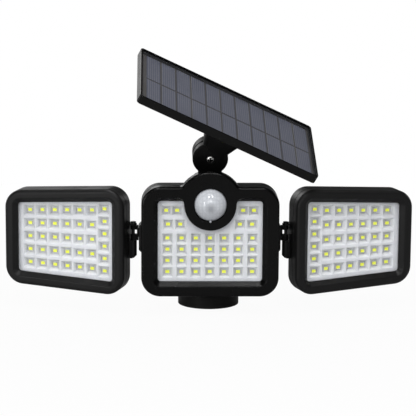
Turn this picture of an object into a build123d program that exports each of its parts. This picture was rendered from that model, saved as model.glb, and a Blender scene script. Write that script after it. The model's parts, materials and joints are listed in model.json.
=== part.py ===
"""Solar floodlight with three LED heads, a motion sensor and a tilting solar panel.

Millimetres. +Z is up and the lamp faces -Y. The origin is the centre of the round foot's
underside. Every head is drawn in its own frame: x across, z up and y as the depth behind
its front plane. The left-hand pieces are mirror images of the right-hand ones.
"""
from build123d import *
import math
import os

# Foot
FOOT_RADIUS = 24.4
FOOT_HEIGHT = 11.0
FOOT_EDGE = 2.0
FOOT_HOLES = 3
FOOT_HOLE_CIRCLE = 36.0
FOOT_HOLE_RADIUS = 2.25
FOOT_HOLE_SINK_RADIUS = 4.3
FOOT_FLOOR = 4.0
FOOT_RECESS_RADIUS = 9.0
FOOT_RECESS_DEPTH = 3.4

# Turntable and fork on the foot
STEM_RADIUS = 12.8
STEM_PLATE = 3.0
STEM_SPIGOT_RADIUS = 5.0
FORK_AXIS_Z = 22.0
FORK_EAR_RADIUS = 6.0
FORK_EAR_THICK = 4.0
FORK_SCREW_RADIUS = 2.0
LUG_WIDTH = 13.6

# Clearances
SLIDE_GAP = 0.3
SHAFT_GAP = 0.08
PART_GAP = 0.2

# Centre head
HEAD_BACK_GAP = 8.0
HEAD_UNDERSIDE_Z = 15.0
HEAD_WIDTH = 108.0
HEAD_HEIGHT = 87.4
HEAD_CORNER = 15.0
HEAD_DEPTH = 38.0
HEAD_STRAIGHT = 22.0
HEAD_BACK_INSET = 6.0
HEAD_BEZEL_DEPTH = 10.0
HEAD_BACK_EDGE = 2.5
WALL = 2.2
HEAD_FRONT_ROUND = 2.2

# Window and light stack shared by the heads
WINDOW_SLOPE = 3.6
WINDOW_RECESS = 3.2
WINDOW_CORNER = 2.6
BEZEL_FACE = 5.0
COVER_OVERLAP = 2.8
COVER_THICK = 1.8
TRAY_THICK = 3.6
BOARD_THICK = 1.6
LED_WIDTH = 3.5
LED_HEIGHT = 2.8
LED_THICK = 0.8
CUP_FOOT_GAP = 0.8

# Centre window and its LED rows, as heights from the head's centre
HEAD_WINDOW_SIDE = 13.0
HEAD_WINDOW_TOP = 32.2
HEAD_WINDOW_BOTTOM = -31.9
HEAD_LED_SIDE = 7.6
HEAD_LED_COLUMNS = 7
HEAD_LED_PITCH_Z = 9.0
HEAD_LED_ROWS = 4
HEAD_LED_FIRST_ROW_Z = 1.7
UPPER_ROW_Z = (12.8, 23.8)
UPPER_ROW_INNER_SHARE = (0.571, 0.632)
UPPER_ROW_OUTER_SHARE = (0.805, 0.839)
HEAD_CUP_WIDTH = 8.2
HEAD_CUP_HEIGHT = 8.2

# Motion sensor
SENSOR_Z = 29.6
BUMP_RADIUS = 26.2
BUMP_FILLET = 3.0
BUMP_STEP = 2.4
SENSOR_RING_RADIUS = 20.3
DOME_RADIUS = 12.6
DOME_RISE = 8.5
DOME_FLANGE = 2.2
DOME_FLANGE_THICK = 1.4
DOME_SHELL = 1.0
SENSOR_SEAT = 3.0
SENSOR_CAN_RADIUS = 4.6
SENSOR_CAN_HEIGHT = 4.4
SENSOR_BOARD_DEPTH = 8.0
SENSOR_BOARD_THICK = 1.4

# Inside the centre head
CASE_SCREW_Z = (-24.0, 22.0)
CASE_BOSS_RADIUS = 3.0
CASE_BOSS_MERGE = 0.6
CASE_WELL_WALL = 1.2
CASE_SCREW_RADIUS = 1.4
CASE_HEAD_RADIUS = 2.6
CASE_HEAD_HEIGHT = 2.0
CASE_SCREW_BITE = 4.0
SEAL_THICK = 0.8
SEAL_WIDTH = 0.9
CELL_RADIUS = 9.2
CELL_LENGTH = 65.0
CELL_Z = -23.5
CELL_BACK_GAP = 0.6
CRADLE_THICK = 2.0
CRADLE_X = 20.0
CONTROL_WIDTH = 70.0
CONTROL_HEIGHT = 28.0
CONTROL_Z = 6.0
CONTROL_DEPTH = 23.0
CONTROL_POST_X = 31.0
CONTROL_POST_RADIUS = 2.6
BUTTON_X = 18.0
BUTTON_Z = 6.0
BUTTON_RADIUS = 5.0
BUTTON_PROUD = 2.6
BUTTON_FLANGE = 1.4
BUTTON_FLANGE_THICK = 1.2
BUTTON_TRAVEL = 1.5
SWITCH_WIDTH = 8.0

# Side heads
SIDE_YAW = 16.6
SIDE_DROP = 1.8
SIDE_WIDTH = 98.6
SIDE_INNER_HEIGHT = 86.0
SIDE_OUTER_HEIGHT = 74.6
SIDE_CORNER = 14.5
SIDE_DEPTH = 26.0
SIDE_STRAIGHT = 19.0
SIDE_BACK_INSET = 7.0
SIDE_BEZEL_DEPTH = 9.0
SIDE_FRONT_ROUND = 3.2
SIDE_WINDOW_MARGIN = 10.3
SIDE_LED_PITCH_X = 10.35
SIDE_LED_COLUMNS = 7
SIDE_LED_ROWS = 5
SIDE_LED_OUTER_PITCH_Z = 10.57
SIDE_LED_PITCH_STEP = 0.24
SIDE_LED_INNER_ROWS = 6
SIDE_LED_INNER_PITCH_Z = 10.0
SIDE_CUP_WIDTH = 9.4
SIDE_CUP_HEIGHT = 8.8
SIDE_SCREW_Z = 21.0

# Side hinges
HINGE_DEPTH = 21.5
LUG_PROUD = 2.0
LUG_ROOT = 10.0
LUG_HALF_DEPTH = 6.5
LUG_TOP = 12.6
LUG_BOTTOM = -11.9
LUG_CHAMFER = 2.8
YOKE_Z = 3.7
YOKE_RADIUS = 5.9
YOKE_PLATE = 1.3
YOKE_SPIGOT_RADIUS = 3.6
YOKE_SLOT = 3.7
YOKE_UPPER_ARM = 3.3
YOKE_END_RADIUS = 2.3
HINGE_WALL_GAP = 2.6
HINGE_PIN_DEPTH = 19.0
HINGE_PIN_RADIUS = 1.25
HINGE_PIN_HEAD_RADIUS = 2.1
HINGE_PIN_HEAD = 1.2
HINGE_PIN_REST = 6.0
HINGE_SLIT = 1.5
BRACKET_RADIUS = 2.8
BRACKET_TOP = 13.2
BRACKET_BOTTOM = 15.0
BRACKET_CHAMFER = 2.4
RETAINER_RADIUS = 5.4
RETAINER_THICK = 1.2
RETAINER_SCREW_RADIUS = 1.4

# Panel neck and knuckle
NECK_DEPTH = 25.2
NECK_SEAT_GAP = 0.4
NECK_BOSS_DROP = 9.0
NECK_RADIUS = 12.6
NECK_COLLAR = 6.2
NECK_STEM_RADIUS = 9.5
NECK_SPIGOT_RADIUS = 5.0
KNUCKLE_RISE = 22.8
KNUCKLE_PITCH = 18.5
KNUCKLE_RADIUS = 14.0
KNUCKLE_FRONT = 7.0
KNUCKLE_REAR = 9.0
KNUCKLE_EDGE = 0.8
KNUCKLE_SCREW_RADIUS = 2.0
KNUCKLE_HEAD_RADIUS = 3.0
KNUCKLE_HEAD = 2.2
KNUCKLE_SINK = 1.2
NUT_RADIUS = 3.9
NUT_THICK = 3.0

# Solar panel
PANEL_ROLL = 26.9
PANEL_LENGTH = 155.0
PANEL_WIDTH = 88.0
PANEL_THICK = 7.0
PANEL_CORNER = 3.0
PANEL_RIM = 1.7
PANEL_FLOOR = 2.0
PANEL_LIP = 1.6
PANEL_BACK_EDGE = 0.4
PANEL_FACE_HEIGHT = 32.8
PANEL_SHIFT = 18.8
GLASS_THICK = 2.0
CELL_SHEET_THICK = 0.3
CELL_COLUMNS = 11
CELL_ROWS = 2
CELL_GAP = 1.5
CELL_ROW_GAP = 2.2
CELL_MARGIN_LEFT = 5.0
CELL_MARGIN_RIGHT = 1.8
CELL_MARGIN_Y = 0.8
PEDESTAL_FOOT_WIDTH = 22.0
PEDESTAL_FOOT_HEIGHT = 9.0
PEDESTAL_TOP_WIDTH = 44.0
PEDESTAL_WEB_WIDTH = 32.0
PEDESTAL_PLATE = 2.6
PEDESTAL_TOP_DEPTH = 34.0
PEDESTAL_TOP_SHIFT = 5.0
PEDESTAL_CORNER = 5.0
PEDESTAL_SCREW_X = 13.0
PEDESTAL_SCREW_Y = 15.0
PEDESTAL_SCREW_RADIUS = 1.4
PEDESTAL_SCREW_LENGTH = 6.0


def slab(outline, front, back):
    """Extrude a front-view outline between two depths behind the front plane."""
    return extrude(Plane.XZ.offset(-back) * outline, amount=back - front)


def frustum(front_outline, front, back_outline, back):
    """Straight-sided solid between an outline at one depth and another behind it."""
    return loft([Plane.XZ.offset(-front) * front_outline, Plane.XZ.offset(-back) * back_outline])


def rod_x(radius, start, end):
    """Round bar along X."""
    return Pos((start + end) / 2, 0, 0) * Rot(0, 90, 0) * Cylinder(radius, end - start)


def rod_y(radius, start, end):
    """Round bar along Y."""
    return Pos(0, (start + end) / 2, 0) * Rot(90, 0, 0) * Cylinder(radius, end - start)


def rod_z(radius, start, end):
    """Round bar along Z."""
    return Pos(0, 0, (start + end) / 2) * Cylinder(radius, end - start)


def block(x0, x1, y0, y1, z0, z1):
    """Box between two corners."""
    return Pos((x0 + x1) / 2, (y0 + y1) / 2, (z0 + z1) / 2) * Box(x1 - x0, y1 - y0, z1 - z0)


def place(location, piece):
    """Put a piece, or each piece of a list, at a location."""
    if isinstance(piece, list):
        return [location * one for one in piece]
    return location * piece


# Depths of the light stack, counted behind a head's front plane
COVER_FRONT = BEZEL_FACE
TRAY_FRONT = COVER_FRONT + COVER_THICK
BOARD_FRONT = TRAY_FRONT + TRAY_THICK
BOARD_BACK = BOARD_FRONT + BOARD_THICK

# Case screws: depth where the columns widen, seat of the heads, wells and distance from the edge
COLUMN_STEP = BOARD_BACK + PART_GAP
SCREW_SEAT = COLUMN_STEP + CASE_WELL_WALL
WELL_RADIUS = CASE_HEAD_RADIUS + PART_GAP
CASE_SCREW_INSET = WALL + CASE_BOSS_RADIUS - CASE_BOSS_MERGE

# Centre head: place over the foot, window, spacing of the LED columns and depth of the battery
HEAD_FRONT_Y = -HEAD_DEPTH - HEAD_BACK_GAP
HEAD_Z = HEAD_UNDERSIDE_Z + HEAD_HEIGHT / 2
HEAD_WINDOW_WIDTH = HEAD_WIDTH - 2 * HEAD_WINDOW_SIDE
HEAD_LED_PITCH_X = (HEAD_WINDOW_WIDTH - 2 * HEAD_LED_SIDE) / (HEAD_LED_COLUMNS - 1)
CELL_DEPTH = HEAD_DEPTH - WALL - CELL_BACK_GAP - CELL_RADIUS

# Neck's seat and the knuckle, as heights from the centre head's middle
NECK_SEAT_Z = HEAD_HEIGHT / 2 + NECK_SEAT_GAP
KNUCKLE_Z = NECK_SEAT_Z + KNUCKLE_RISE

# Outlines seen from the front


def rounded(width, height, corner, centre_z=0.0):
    """Rounded rectangle about the head's middle line."""
    return Pos(0, centre_z) * RectangleRounded(width, height, corner)


def head_rectangle(inset):
    """Centre head's outline without the sensor bump, moved inwards."""
    return rounded(HEAD_WIDTH - 2 * inset, HEAD_HEIGHT - 2 * inset, HEAD_CORNER - inset)


def head_outline(step):
    """Centre head's outline with the sensor bump, lowered by a step, blended into its top edge."""
    radius = BUMP_RADIUS - step
    outline = head_rectangle(0) + Pos(0, SENSOR_Z) * Circle(radius)
    rise = HEAD_HEIGHT / 2 - SENSOR_Z
    reach = math.sqrt(radius**2 - rise**2)
    inner = [v for v in outline.vertices() if abs(abs(v.X) - reach) < 0.01 and v.Y > SENSOR_Z]
    return fillet(inner, BUMP_FILLET)


def head_window(grow, corner):
    """Centre head's window, grown by a margin and still whole behind the sensor ring."""
    height = HEAD_WINDOW_TOP - HEAD_WINDOW_BOTTOM
    middle = (HEAD_WINDOW_TOP + HEAD_WINDOW_BOTTOM) / 2
    return rounded(HEAD_WINDOW_WIDTH + 2 * grow, height + 2 * grow, corner, middle)


SIDE_TAPER = math.atan((SIDE_INNER_HEIGHT - SIDE_OUTER_HEIGHT) / 2 / SIDE_WIDTH)


def side_outline(inset, corner):
    """Side head's tapered outline, moved inwards, with x running outwards from the hinge pin."""
    inner_x = HINGE_WALL_GAP + inset
    outer_x = HINGE_WALL_GAP + SIDE_WIDTH - inset
    slant = inset / math.cos(SIDE_TAPER)
    inner_z = SIDE_INNER_HEIGHT / 2 - inset * math.tan(SIDE_TAPER) - slant
    outer_z = SIDE_OUTER_HEIGHT / 2 + inset * math.tan(SIDE_TAPER) - slant
    points = [(inner_x, -inner_z), (outer_x, -outer_z), (outer_x, outer_z), (inner_x, inner_z)]
    shape = make_face(Polyline(*points, close=True))
    return fillet(shape.vertices(), corner)


# LED places


def head_led_places():
    """Centre of each LED in the centre head: four full rows, and two short ones by the sensor."""
    first_x = -HEAD_LED_PITCH_X * (HEAD_LED_COLUMNS - 1) / 2
    spots = []
    for row in range(HEAD_LED_ROWS):
        for column in range(HEAD_LED_COLUMNS):
            z = HEAD_LED_FIRST_ROW_Z - row * HEAD_LED_PITCH_Z
            spots.append((first_x + column * HEAD_LED_PITCH_X, z))
    half = HEAD_WINDOW_WIDTH / 2
    for z, inner, outer in zip(UPPER_ROW_Z, UPPER_ROW_INNER_SHARE, UPPER_ROW_OUTER_SHARE):
        spots += [(share * half, z) for share in (-outer, -inner, inner, outer)]
    return spots


def side_led_places():
    """Centre of each LED in a side head: a six-LED inner column and rows that fan with the taper."""
    span = SIDE_LED_PITCH_X * (SIDE_LED_COLUMNS - 1)
    first_x = HINGE_WALL_GAP + (SIDE_WIDTH - span) / 2
    spots = []
    for row in range(SIDE_LED_INNER_ROWS):
        spots.append((first_x, ((SIDE_LED_INNER_ROWS - 1) / 2 - row) * SIDE_LED_INNER_PITCH_Z))
    for column in range(1, SIDE_LED_COLUMNS):
        pitch = SIDE_LED_OUTER_PITCH_Z + (SIDE_LED_COLUMNS - 1 - column) * SIDE_LED_PITCH_STEP
        for row in range(SIDE_LED_ROWS):
            spots.append((first_x + column * SIDE_LED_PITCH_X, ((SIDE_LED_ROWS - 1) / 2 - row) * pitch))
    return spots


def light_stack(outline, spots, cup_width, cup_height):
    """Clear cover, reflector tray with one tapered cup per LED, board and LEDs behind a window."""
    cover = slab(outline, COVER_FRONT, TRAY_FRONT)
    tray = slab(outline, TRAY_FRONT, BOARD_FRONT)
    foot = Rectangle(LED_WIDTH + 2 * CUP_FOOT_GAP, LED_HEIGHT + 2 * CUP_FOOT_GAP)
    cup = frustum(Rectangle(cup_width, cup_height), TRAY_FRONT, foot, BOARD_FRONT)
    tray -= [Pos(x, 0, z) * cup for x, z in spots]
    board = slab(outline, BOARD_FRONT, BOARD_BACK)
    led = slab(Rectangle(LED_WIDTH, LED_HEIGHT), BOARD_FRONT - LED_THICK, BOARD_FRONT)
    return cover, tray, board, [Pos(x, 0, z) * led for x, z in spots]


def round_front(body, radius):
    """Round the outer edge of a bezel's front face."""
    front = body.faces().sort_by(Axis.Y)[0]
    return fillet(front.outer_wire().edges(), radius)


def case_screw(depth, length):
    """Case screw that enters from the back, with its head seated at a depth."""
    head = rod_y(CASE_HEAD_RADIUS, depth, depth + CASE_HEAD_HEIGHT)
    return head + rod_y(CASE_SCREW_RADIUS, depth - length, depth)


def screw_posts(spots, back):
    """Posts behind a bezel's face that the case screws bite into, and the holes for the screws."""
    posts = [slab(Pos(x, z) * Circle(CASE_BOSS_RADIUS), BEZEL_FACE, back) for x, z in spots]
    holes = [slab(Pos(x, z) * Circle(CASE_SCREW_RADIUS), back - CASE_SCREW_BITE, back) for x, z in spots]
    return posts, holes


def screw_columns(spots, envelope, front, back):
    """Screw columns inside a rear shell, slim beside the light stack and stout behind it."""
    columns = []
    for x, z in spots:
        slim = slab(Pos(x, z) * Circle(CASE_BOSS_RADIUS), front, COLUMN_STEP)
        stout = slab(Pos(x, z) * Circle(WELL_RADIUS + CASE_WELL_WALL), COLUMN_STEP, back)
        columns.append((slim + stout) & envelope)
    return columns


def screw_wells(spots, front, back):
    """Clearance holes of the case screws and the deep wells that their heads sit in."""
    wells = []
    for x, z in spots:
        wells.append(slab(Pos(x, z) * Circle(CASE_SCREW_RADIUS + PART_GAP), front, back))
        wells.append(slab(Pos(x, z) * Circle(WELL_RADIUS), SCREW_SEAT, back))
    return wells


# Centre head


def sensor_disc(radius):
    """Circle about the motion sensor."""
    return Pos(0, SENSOR_Z) * Circle(radius)


def ringed_window(grow, corner):
    """Window's outline under the sensor ring, with soft corners where the two meet."""
    outline = head_window(grow, corner) - sensor_disc(SENSOR_RING_RADIUS)
    tips = [
        one for one in outline.vertices()
        if abs(math.hypot(one.X, one.Y - SENSOR_Z) - SENSOR_RING_RADIUS) < PART_GAP
    ]
    return fillet(tips, corner)


CASE_SCREW_X = HEAD_WIDTH / 2 - CASE_SCREW_INSET
CASE_SPOTS = [(x, z) for x in (-CASE_SCREW_X, CASE_SCREW_X) for z in CASE_SCREW_Z]
SENSOR_BORE = DOME_RADIUS + DOME_FLANGE


def head_bezel():
    """Front frame with the sloped window, the sensor ring and four screw posts."""
    body = round_front(slab(head_outline(0), 0, HEAD_BEZEL_DEPTH), HEAD_FRONT_ROUND)
    ring = slab(sensor_disc(SENSOR_RING_RADIUS), 0, HEAD_BEZEL_DEPTH)
    window = frustum(
        ringed_window(WINDOW_SLOPE, WINDOW_CORNER + WINDOW_SLOPE), 0,
        ringed_window(0, WINDOW_CORNER), WINDOW_RECESS,
    )
    window += slab(ringed_window(0, WINDOW_CORNER), WINDOW_RECESS, BEZEL_FACE)
    pocket = slab(head_rectangle(WALL), BEZEL_FACE, HEAD_BEZEL_DEPTH)
    body -= window + (pocket - ring)
    posts, holes = screw_posts(CASE_SPOTS, HEAD_BEZEL_DEPTH)
    body += posts
    body -= holes
    body -= slab(sensor_disc(DOME_RADIUS + PART_GAP), 0, SENSOR_SEAT)
    return body - slab(sensor_disc(SENSOR_BORE + PART_GAP), SENSOR_SEAT, HEAD_BEZEL_DEPTH)


def head_stack():
    """Cover, reflector, board and LEDs of the centre head, notched round the sensor ring."""
    outline = head_window(COVER_OVERLAP, WINDOW_CORNER + COVER_OVERLAP)
    outline -= sensor_disc(SENSOR_RING_RADIUS + PART_GAP)
    return light_stack(outline, head_led_places(), HEAD_CUP_WIDTH, HEAD_CUP_HEIGHT)


def hinge_lug():
    """Right-hand lug on the centre head's side that carries the tilting yoke."""
    face = HEAD_WIDTH / 2 + LUG_PROUD
    lug = block(
        face - LUG_ROOT, face,
        HINGE_DEPTH - LUG_HALF_DEPTH, HINGE_DEPTH + LUG_HALF_DEPTH,
        LUG_BOTTOM, LUG_TOP,
    )
    outer = lug.faces().sort_by(Axis.X)[-1]
    lug = chamfer(outer.edges().filter_by(Axis.Y), LUG_CHAMFER)
    bore = Pos(0, HINGE_DEPTH, YOKE_Z) * rod_x(YOKE_SPIGOT_RADIUS + SHAFT_GAP, face - LUG_ROOT, face)
    return lug, bore


HEAD_LUG_Y = -HEAD_FRONT_Y
HEAD_LUG_Z = FORK_AXIS_Z - HEAD_Z


def head_housing():
    """Rear shell: tapered tub with hinge lugs, neck seat, foot lug, screw columns and cradle."""
    back_wall = HEAD_DEPTH - WALL
    shell = slab(head_outline(BUMP_STEP), HEAD_BEZEL_DEPTH, HEAD_BEZEL_DEPTH + WALL)
    shell += slab(head_rectangle(0), HEAD_BEZEL_DEPTH, HEAD_STRAIGHT)
    shell += frustum(head_rectangle(0), HEAD_STRAIGHT, head_rectangle(HEAD_BACK_INSET), HEAD_DEPTH)
    back = shell.faces().sort_by(Axis.Y)[-1]
    shell = fillet(back.edges(), HEAD_BACK_EDGE)
    envelope = shell
    lug, lug_bore = hinge_lug()
    foot_lug = Pos(0, HEAD_LUG_Y, HEAD_LUG_Z) * rod_x(FORK_EAR_RADIUS, -LUG_WIDTH / 2, LUG_WIDTH / 2)
    foot_lug += block(
        -LUG_WIDTH / 2, LUG_WIDTH / 2, back_wall, HEAD_LUG_Y,
        HEAD_LUG_Z - FORK_EAR_RADIUS, HEAD_LUG_Z + FORK_EAR_RADIUS,
    )
    at_neck = Pos(0, NECK_DEPTH, NECK_SEAT_Z)
    seat = at_neck * rod_z(NECK_RADIUS, -NECK_BOSS_DROP, 0)
    hollow = slab(head_rectangle(WALL), HEAD_BEZEL_DEPTH, HEAD_STRAIGHT)
    hollow += frustum(
        head_rectangle(WALL), HEAD_STRAIGHT,
        head_rectangle(HEAD_BACK_INSET + WALL), back_wall,
    )
    shell -= hollow
    shell += [lug, mirror(lug, about=Plane.YZ), foot_lug, seat]
    shell += screw_columns(CASE_SPOTS, envelope, HEAD_BEZEL_DEPTH, HEAD_DEPTH)
    shell += cradles() + control_posts()
    shell -= [lug_bore, mirror(lug_bore, about=Plane.YZ)]
    shell -= Pos(0, HEAD_LUG_Y, HEAD_LUG_Z) * rod_x(FORK_SCREW_RADIUS + SHAFT_GAP, -LUG_WIDTH, LUG_WIDTH)
    shell -= at_neck * rod_z(NECK_SPIGOT_RADIUS + SHAFT_GAP, -NECK_BOSS_DROP, 0)
    shell -= screw_wells(CASE_SPOTS, HEAD_BEZEL_DEPTH, HEAD_DEPTH)
    shell -= head_seal()
    shell -= slab(Pos(BUTTON_X, BUTTON_Z) * Circle(BUTTON_RADIUS + PART_GAP), back_wall, HEAD_DEPTH)
    return shell


def head_seal():
    """Silicone ring in the front edge of the centre head's rear shell."""
    middle = (WALL - SEAL_WIDTH) / 2
    ring = head_rectangle(middle) - head_rectangle(middle + SEAL_WIDTH)
    return slab(ring, HEAD_BEZEL_DEPTH, HEAD_BEZEL_DEPTH + SEAL_THICK)


def cradles():
    """Two ribs on the back wall, hollowed to carry the battery cell."""
    cell = Pos(0, CELL_DEPTH, CELL_Z) * rod_x(CELL_RADIUS + PART_GAP, -CELL_LENGTH, CELL_LENGTH)
    rib = block(
        -CRADLE_THICK / 2, CRADLE_THICK / 2,
        CELL_DEPTH, HEAD_DEPTH - WALL,
        CELL_Z - CELL_RADIUS, CELL_Z + CELL_RADIUS,
    )
    return [Pos(x, 0, 0) * (rib - cell) for x in (-CRADLE_X, CRADLE_X)]


def control_posts():
    """Two posts on the back wall that the control board is screwed to."""
    board_back = CONTROL_DEPTH + BOARD_THICK
    post = slab(Pos(0, CONTROL_Z) * Circle(CONTROL_POST_RADIUS), board_back, HEAD_DEPTH - WALL)
    post -= slab(Pos(0, CONTROL_Z) * Circle(CASE_SCREW_RADIUS), board_back, board_back + CASE_SCREW_BITE)
    return [Pos(x, 0, 0) * post for x in (-CONTROL_POST_X, CONTROL_POST_X)]


def sensor_dome():
    """Domed Fresnel lens with its seat flange, hollow behind."""
    sphere_radius = (DOME_RADIUS**2 + DOME_RISE**2) / (2 * DOME_RISE)
    centre = Pos(0, sphere_radius - DOME_RISE, SENSOR_Z)
    outer = centre * Sphere(sphere_radius) & slab(sensor_disc(DOME_RADIUS), -DOME_RISE, 0)
    inner = centre * Sphere(sphere_radius - DOME_SHELL)
    neck = slab(sensor_disc(DOME_RADIUS), 0, SENSOR_SEAT)
    flange = slab(sensor_disc(SENSOR_BORE), SENSOR_SEAT, SENSOR_SEAT + DOME_FLANGE_THICK)
    hole = slab(sensor_disc(DOME_RADIUS - DOME_SHELL), 0, SENSOR_SEAT + DOME_FLANGE_THICK)
    return outer + neck + flange - inner - hole


def head_inner_pieces():
    """Sensor can and its board, control board, switch and battery cell."""
    board = SENSOR_BOARD_DEPTH
    can = slab(sensor_disc(SENSOR_CAN_RADIUS), board - SENSOR_CAN_HEIGHT, board)
    sensor_board = slab(sensor_disc(SENSOR_BORE), board, board + SENSOR_BOARD_THICK)
    control_back = CONTROL_DEPTH + BOARD_THICK
    board_outline = Pos(0, CONTROL_Z) * Rectangle(CONTROL_WIDTH, CONTROL_HEIGHT)
    control = slab(board_outline, CONTROL_DEPTH, control_back)
    hole = slab(Pos(0, CONTROL_Z) * Circle(CASE_SCREW_RADIUS), CONTROL_DEPTH, control_back)
    control -= [Pos(x, 0, 0) * hole for x in (-CONTROL_POST_X, CONTROL_POST_X)]
    switch = slab(
        Pos(BUTTON_X, BUTTON_Z) * Rectangle(SWITCH_WIDTH, SWITCH_WIDTH),
        control_back, button_flange_front() - BUTTON_TRAVEL - SLIDE_GAP,
    )
    cell = Pos(0, CELL_DEPTH, CELL_Z) * rod_x(CELL_RADIUS, -CELL_LENGTH / 2, CELL_LENGTH / 2)
    return can, sensor_board, control, switch, cell


def control_screws():
    """Two screws that hold the control board on its posts."""
    head = rod_y(CASE_HEAD_RADIUS, CONTROL_DEPTH - CASE_HEAD_HEIGHT, CONTROL_DEPTH)
    shank = rod_y(CASE_SCREW_RADIUS, CONTROL_DEPTH, CONTROL_DEPTH + BOARD_THICK + CASE_SCREW_BITE)
    return [Pos(x, 0, CONTROL_Z) * (head + shank) for x in (-CONTROL_POST_X, CONTROL_POST_X)]


def button_flange_front():
    """Depth of the button flange's front face, with the flange just inside the back wall."""
    return HEAD_DEPTH - WALL - PART_GAP - BUTTON_FLANGE_THICK


def push_button():
    """Round power button that travels forwards into the back of the centre head."""
    front = button_flange_front()
    spot = Pos(BUTTON_X, BUTTON_Z)
    cap = slab(spot * Circle(BUTTON_RADIUS), front, HEAD_DEPTH + BUTTON_PROUD)
    cap = fillet(cap.faces().sort_by(Axis.Y)[-1].edges(), BUTTON_FLANGE / 2)
    return cap + slab(spot * Circle(BUTTON_RADIUS + BUTTON_FLANGE), front, front + BUTTON_FLANGE_THICK)


# Side heads


def side_window(grow, corner):
    """Side head's window, grown by a margin."""
    return side_outline(SIDE_WINDOW_MARGIN - grow, corner)


def side_screw_spots():
    """Case screw places, near the inner and outer ends of a side head."""
    inner = HINGE_WALL_GAP + CASE_SCREW_INSET
    outer = HINGE_WALL_GAP + SIDE_WIDTH - CASE_SCREW_INSET
    return [(x, z) for x in (inner, outer) for z in (-SIDE_SCREW_Z, SIDE_SCREW_Z)]


def side_bezel():
    """Tapered front frame of a side head with its sloped window and screw posts."""
    body = round_front(slab(side_outline(0, SIDE_CORNER), 0, SIDE_BEZEL_DEPTH), SIDE_FRONT_ROUND)
    window = frustum(
        side_window(WINDOW_SLOPE, WINDOW_CORNER + WINDOW_SLOPE), 0,
        side_window(0, WINDOW_CORNER), WINDOW_RECESS,
    )
    window += slab(side_window(0, WINDOW_CORNER), WINDOW_RECESS, BEZEL_FACE)
    pocket = slab(side_outline(WALL, SIDE_CORNER - WALL), BEZEL_FACE, SIDE_BEZEL_DEPTH)
    body -= window + pocket
    posts, holes = screw_posts(side_screw_spots(), SIDE_BEZEL_DEPTH)
    body += posts
    return body - holes


def side_stack():
    """Cover, reflector, board and LEDs of a side head."""
    outline = side_window(COVER_OVERLAP, WINDOW_CORNER + COVER_OVERLAP)
    return light_stack(outline, side_led_places(), SIDE_CUP_WIDTH, SIDE_CUP_HEIGHT)


def side_seal():
    """Silicone ring in the front edge of a side head's rear shell."""
    middle = (WALL - SEAL_WIDTH) / 2
    inner = middle + SEAL_WIDTH
    ring = side_outline(middle, SIDE_CORNER - middle) - side_outline(inner, SIDE_CORNER - inner)
    return slab(ring, SIDE_BEZEL_DEPTH, SIDE_BEZEL_DEPTH + SEAL_THICK)


YOKE_TOP = YOKE_Z + YOKE_RADIUS + SIDE_DROP
YOKE_BOTTOM = YOKE_Z - YOKE_RADIUS + SIDE_DROP
PIN_LOW = YOKE_BOTTOM - HINGE_PIN_REST


def bracket():
    """Two cheeks on the inner wall of a side head, above and below the yoke, bored for the pin."""
    body = rod_z(BRACKET_RADIUS, -BRACKET_BOTTOM, BRACKET_TOP)
    body = chamfer(body.edges().filter_by(GeomType.CIRCLE).sort_by(Axis.Z)[:1], BRACKET_CHAMFER)
    body += block(
        0, HINGE_WALL_GAP + WALL / 2,
        -BRACKET_RADIUS, BRACKET_RADIUS,
        -BRACKET_BOTTOM, BRACKET_TOP,
    )
    reach = BRACKET_RADIUS + HINGE_WALL_GAP
    body -= block(-reach, HINGE_WALL_GAP, -reach, reach, YOKE_BOTTOM - SLIDE_GAP, YOKE_TOP + SLIDE_GAP)
    return body - rod_z(HINGE_PIN_RADIUS, PIN_LOW, BRACKET_TOP)


def side_housing():
    """Rear shell of a side head, a shallow tapered tub with the hinge bracket."""
    at_pin = Pos(0, HINGE_PIN_DEPTH, 0)
    back_wall = SIDE_DEPTH - WALL
    shell = slab(side_outline(0, SIDE_CORNER), SIDE_BEZEL_DEPTH, SIDE_STRAIGHT)
    shell += frustum(
        side_outline(0, SIDE_CORNER), SIDE_STRAIGHT,
        side_outline(SIDE_BACK_INSET, SIDE_CORNER - SIDE_BACK_INSET), SIDE_DEPTH,
    )
    shell = fillet(shell.faces().sort_by(Axis.Y)[-1].edges(), HEAD_BACK_EDGE)
    envelope = shell
    shell += at_pin * bracket_root()
    hollow = slab(side_outline(WALL, SIDE_CORNER - WALL), SIDE_BEZEL_DEPTH, SIDE_STRAIGHT)
    hollow += frustum(
        side_outline(WALL, SIDE_CORNER - WALL), SIDE_STRAIGHT,
        side_outline(SIDE_BACK_INSET + WALL, SIDE_CORNER - SIDE_BACK_INSET - WALL), back_wall,
    )
    shell -= hollow
    shell += at_pin * bracket()
    spots = side_screw_spots()
    shell += screw_columns(spots, envelope, SIDE_BEZEL_DEPTH, SIDE_DEPTH)
    shell -= screw_wells(spots, SIDE_BEZEL_DEPTH, SIDE_DEPTH)
    return shell - side_seal()


def bracket_root():
    """Pad that carries the bracket's inner wall back over the tapered part of the shell."""
    half = BRACKET_RADIUS + WALL
    return block(
        HINGE_WALL_GAP, HINGE_WALL_GAP + SIDE_BACK_INSET,
        -half, half,
        -BRACKET_BOTTOM, BRACKET_TOP,
    )


def swivel_pin():
    """Headed pin that a side head swivels on, driven in from above."""
    head = rod_z(HINGE_PIN_HEAD_RADIUS, BRACKET_TOP, BRACKET_TOP + HINGE_PIN_HEAD)
    return head + rod_z(HINGE_PIN_RADIUS, PIN_LOW, BRACKET_TOP)


# Side hinge in the world frame
LUG_FACE_X = HEAD_WIDTH / 2 + LUG_PROUD
HINGE_X = LUG_FACE_X + HINGE_SLIT + BRACKET_RADIUS
HINGE_Y = HEAD_FRONT_Y + HINGE_DEPTH
SIDE_Z = HEAD_Z - SIDE_DROP
TILT_Z = HEAD_Z + YOKE_Z


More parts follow.
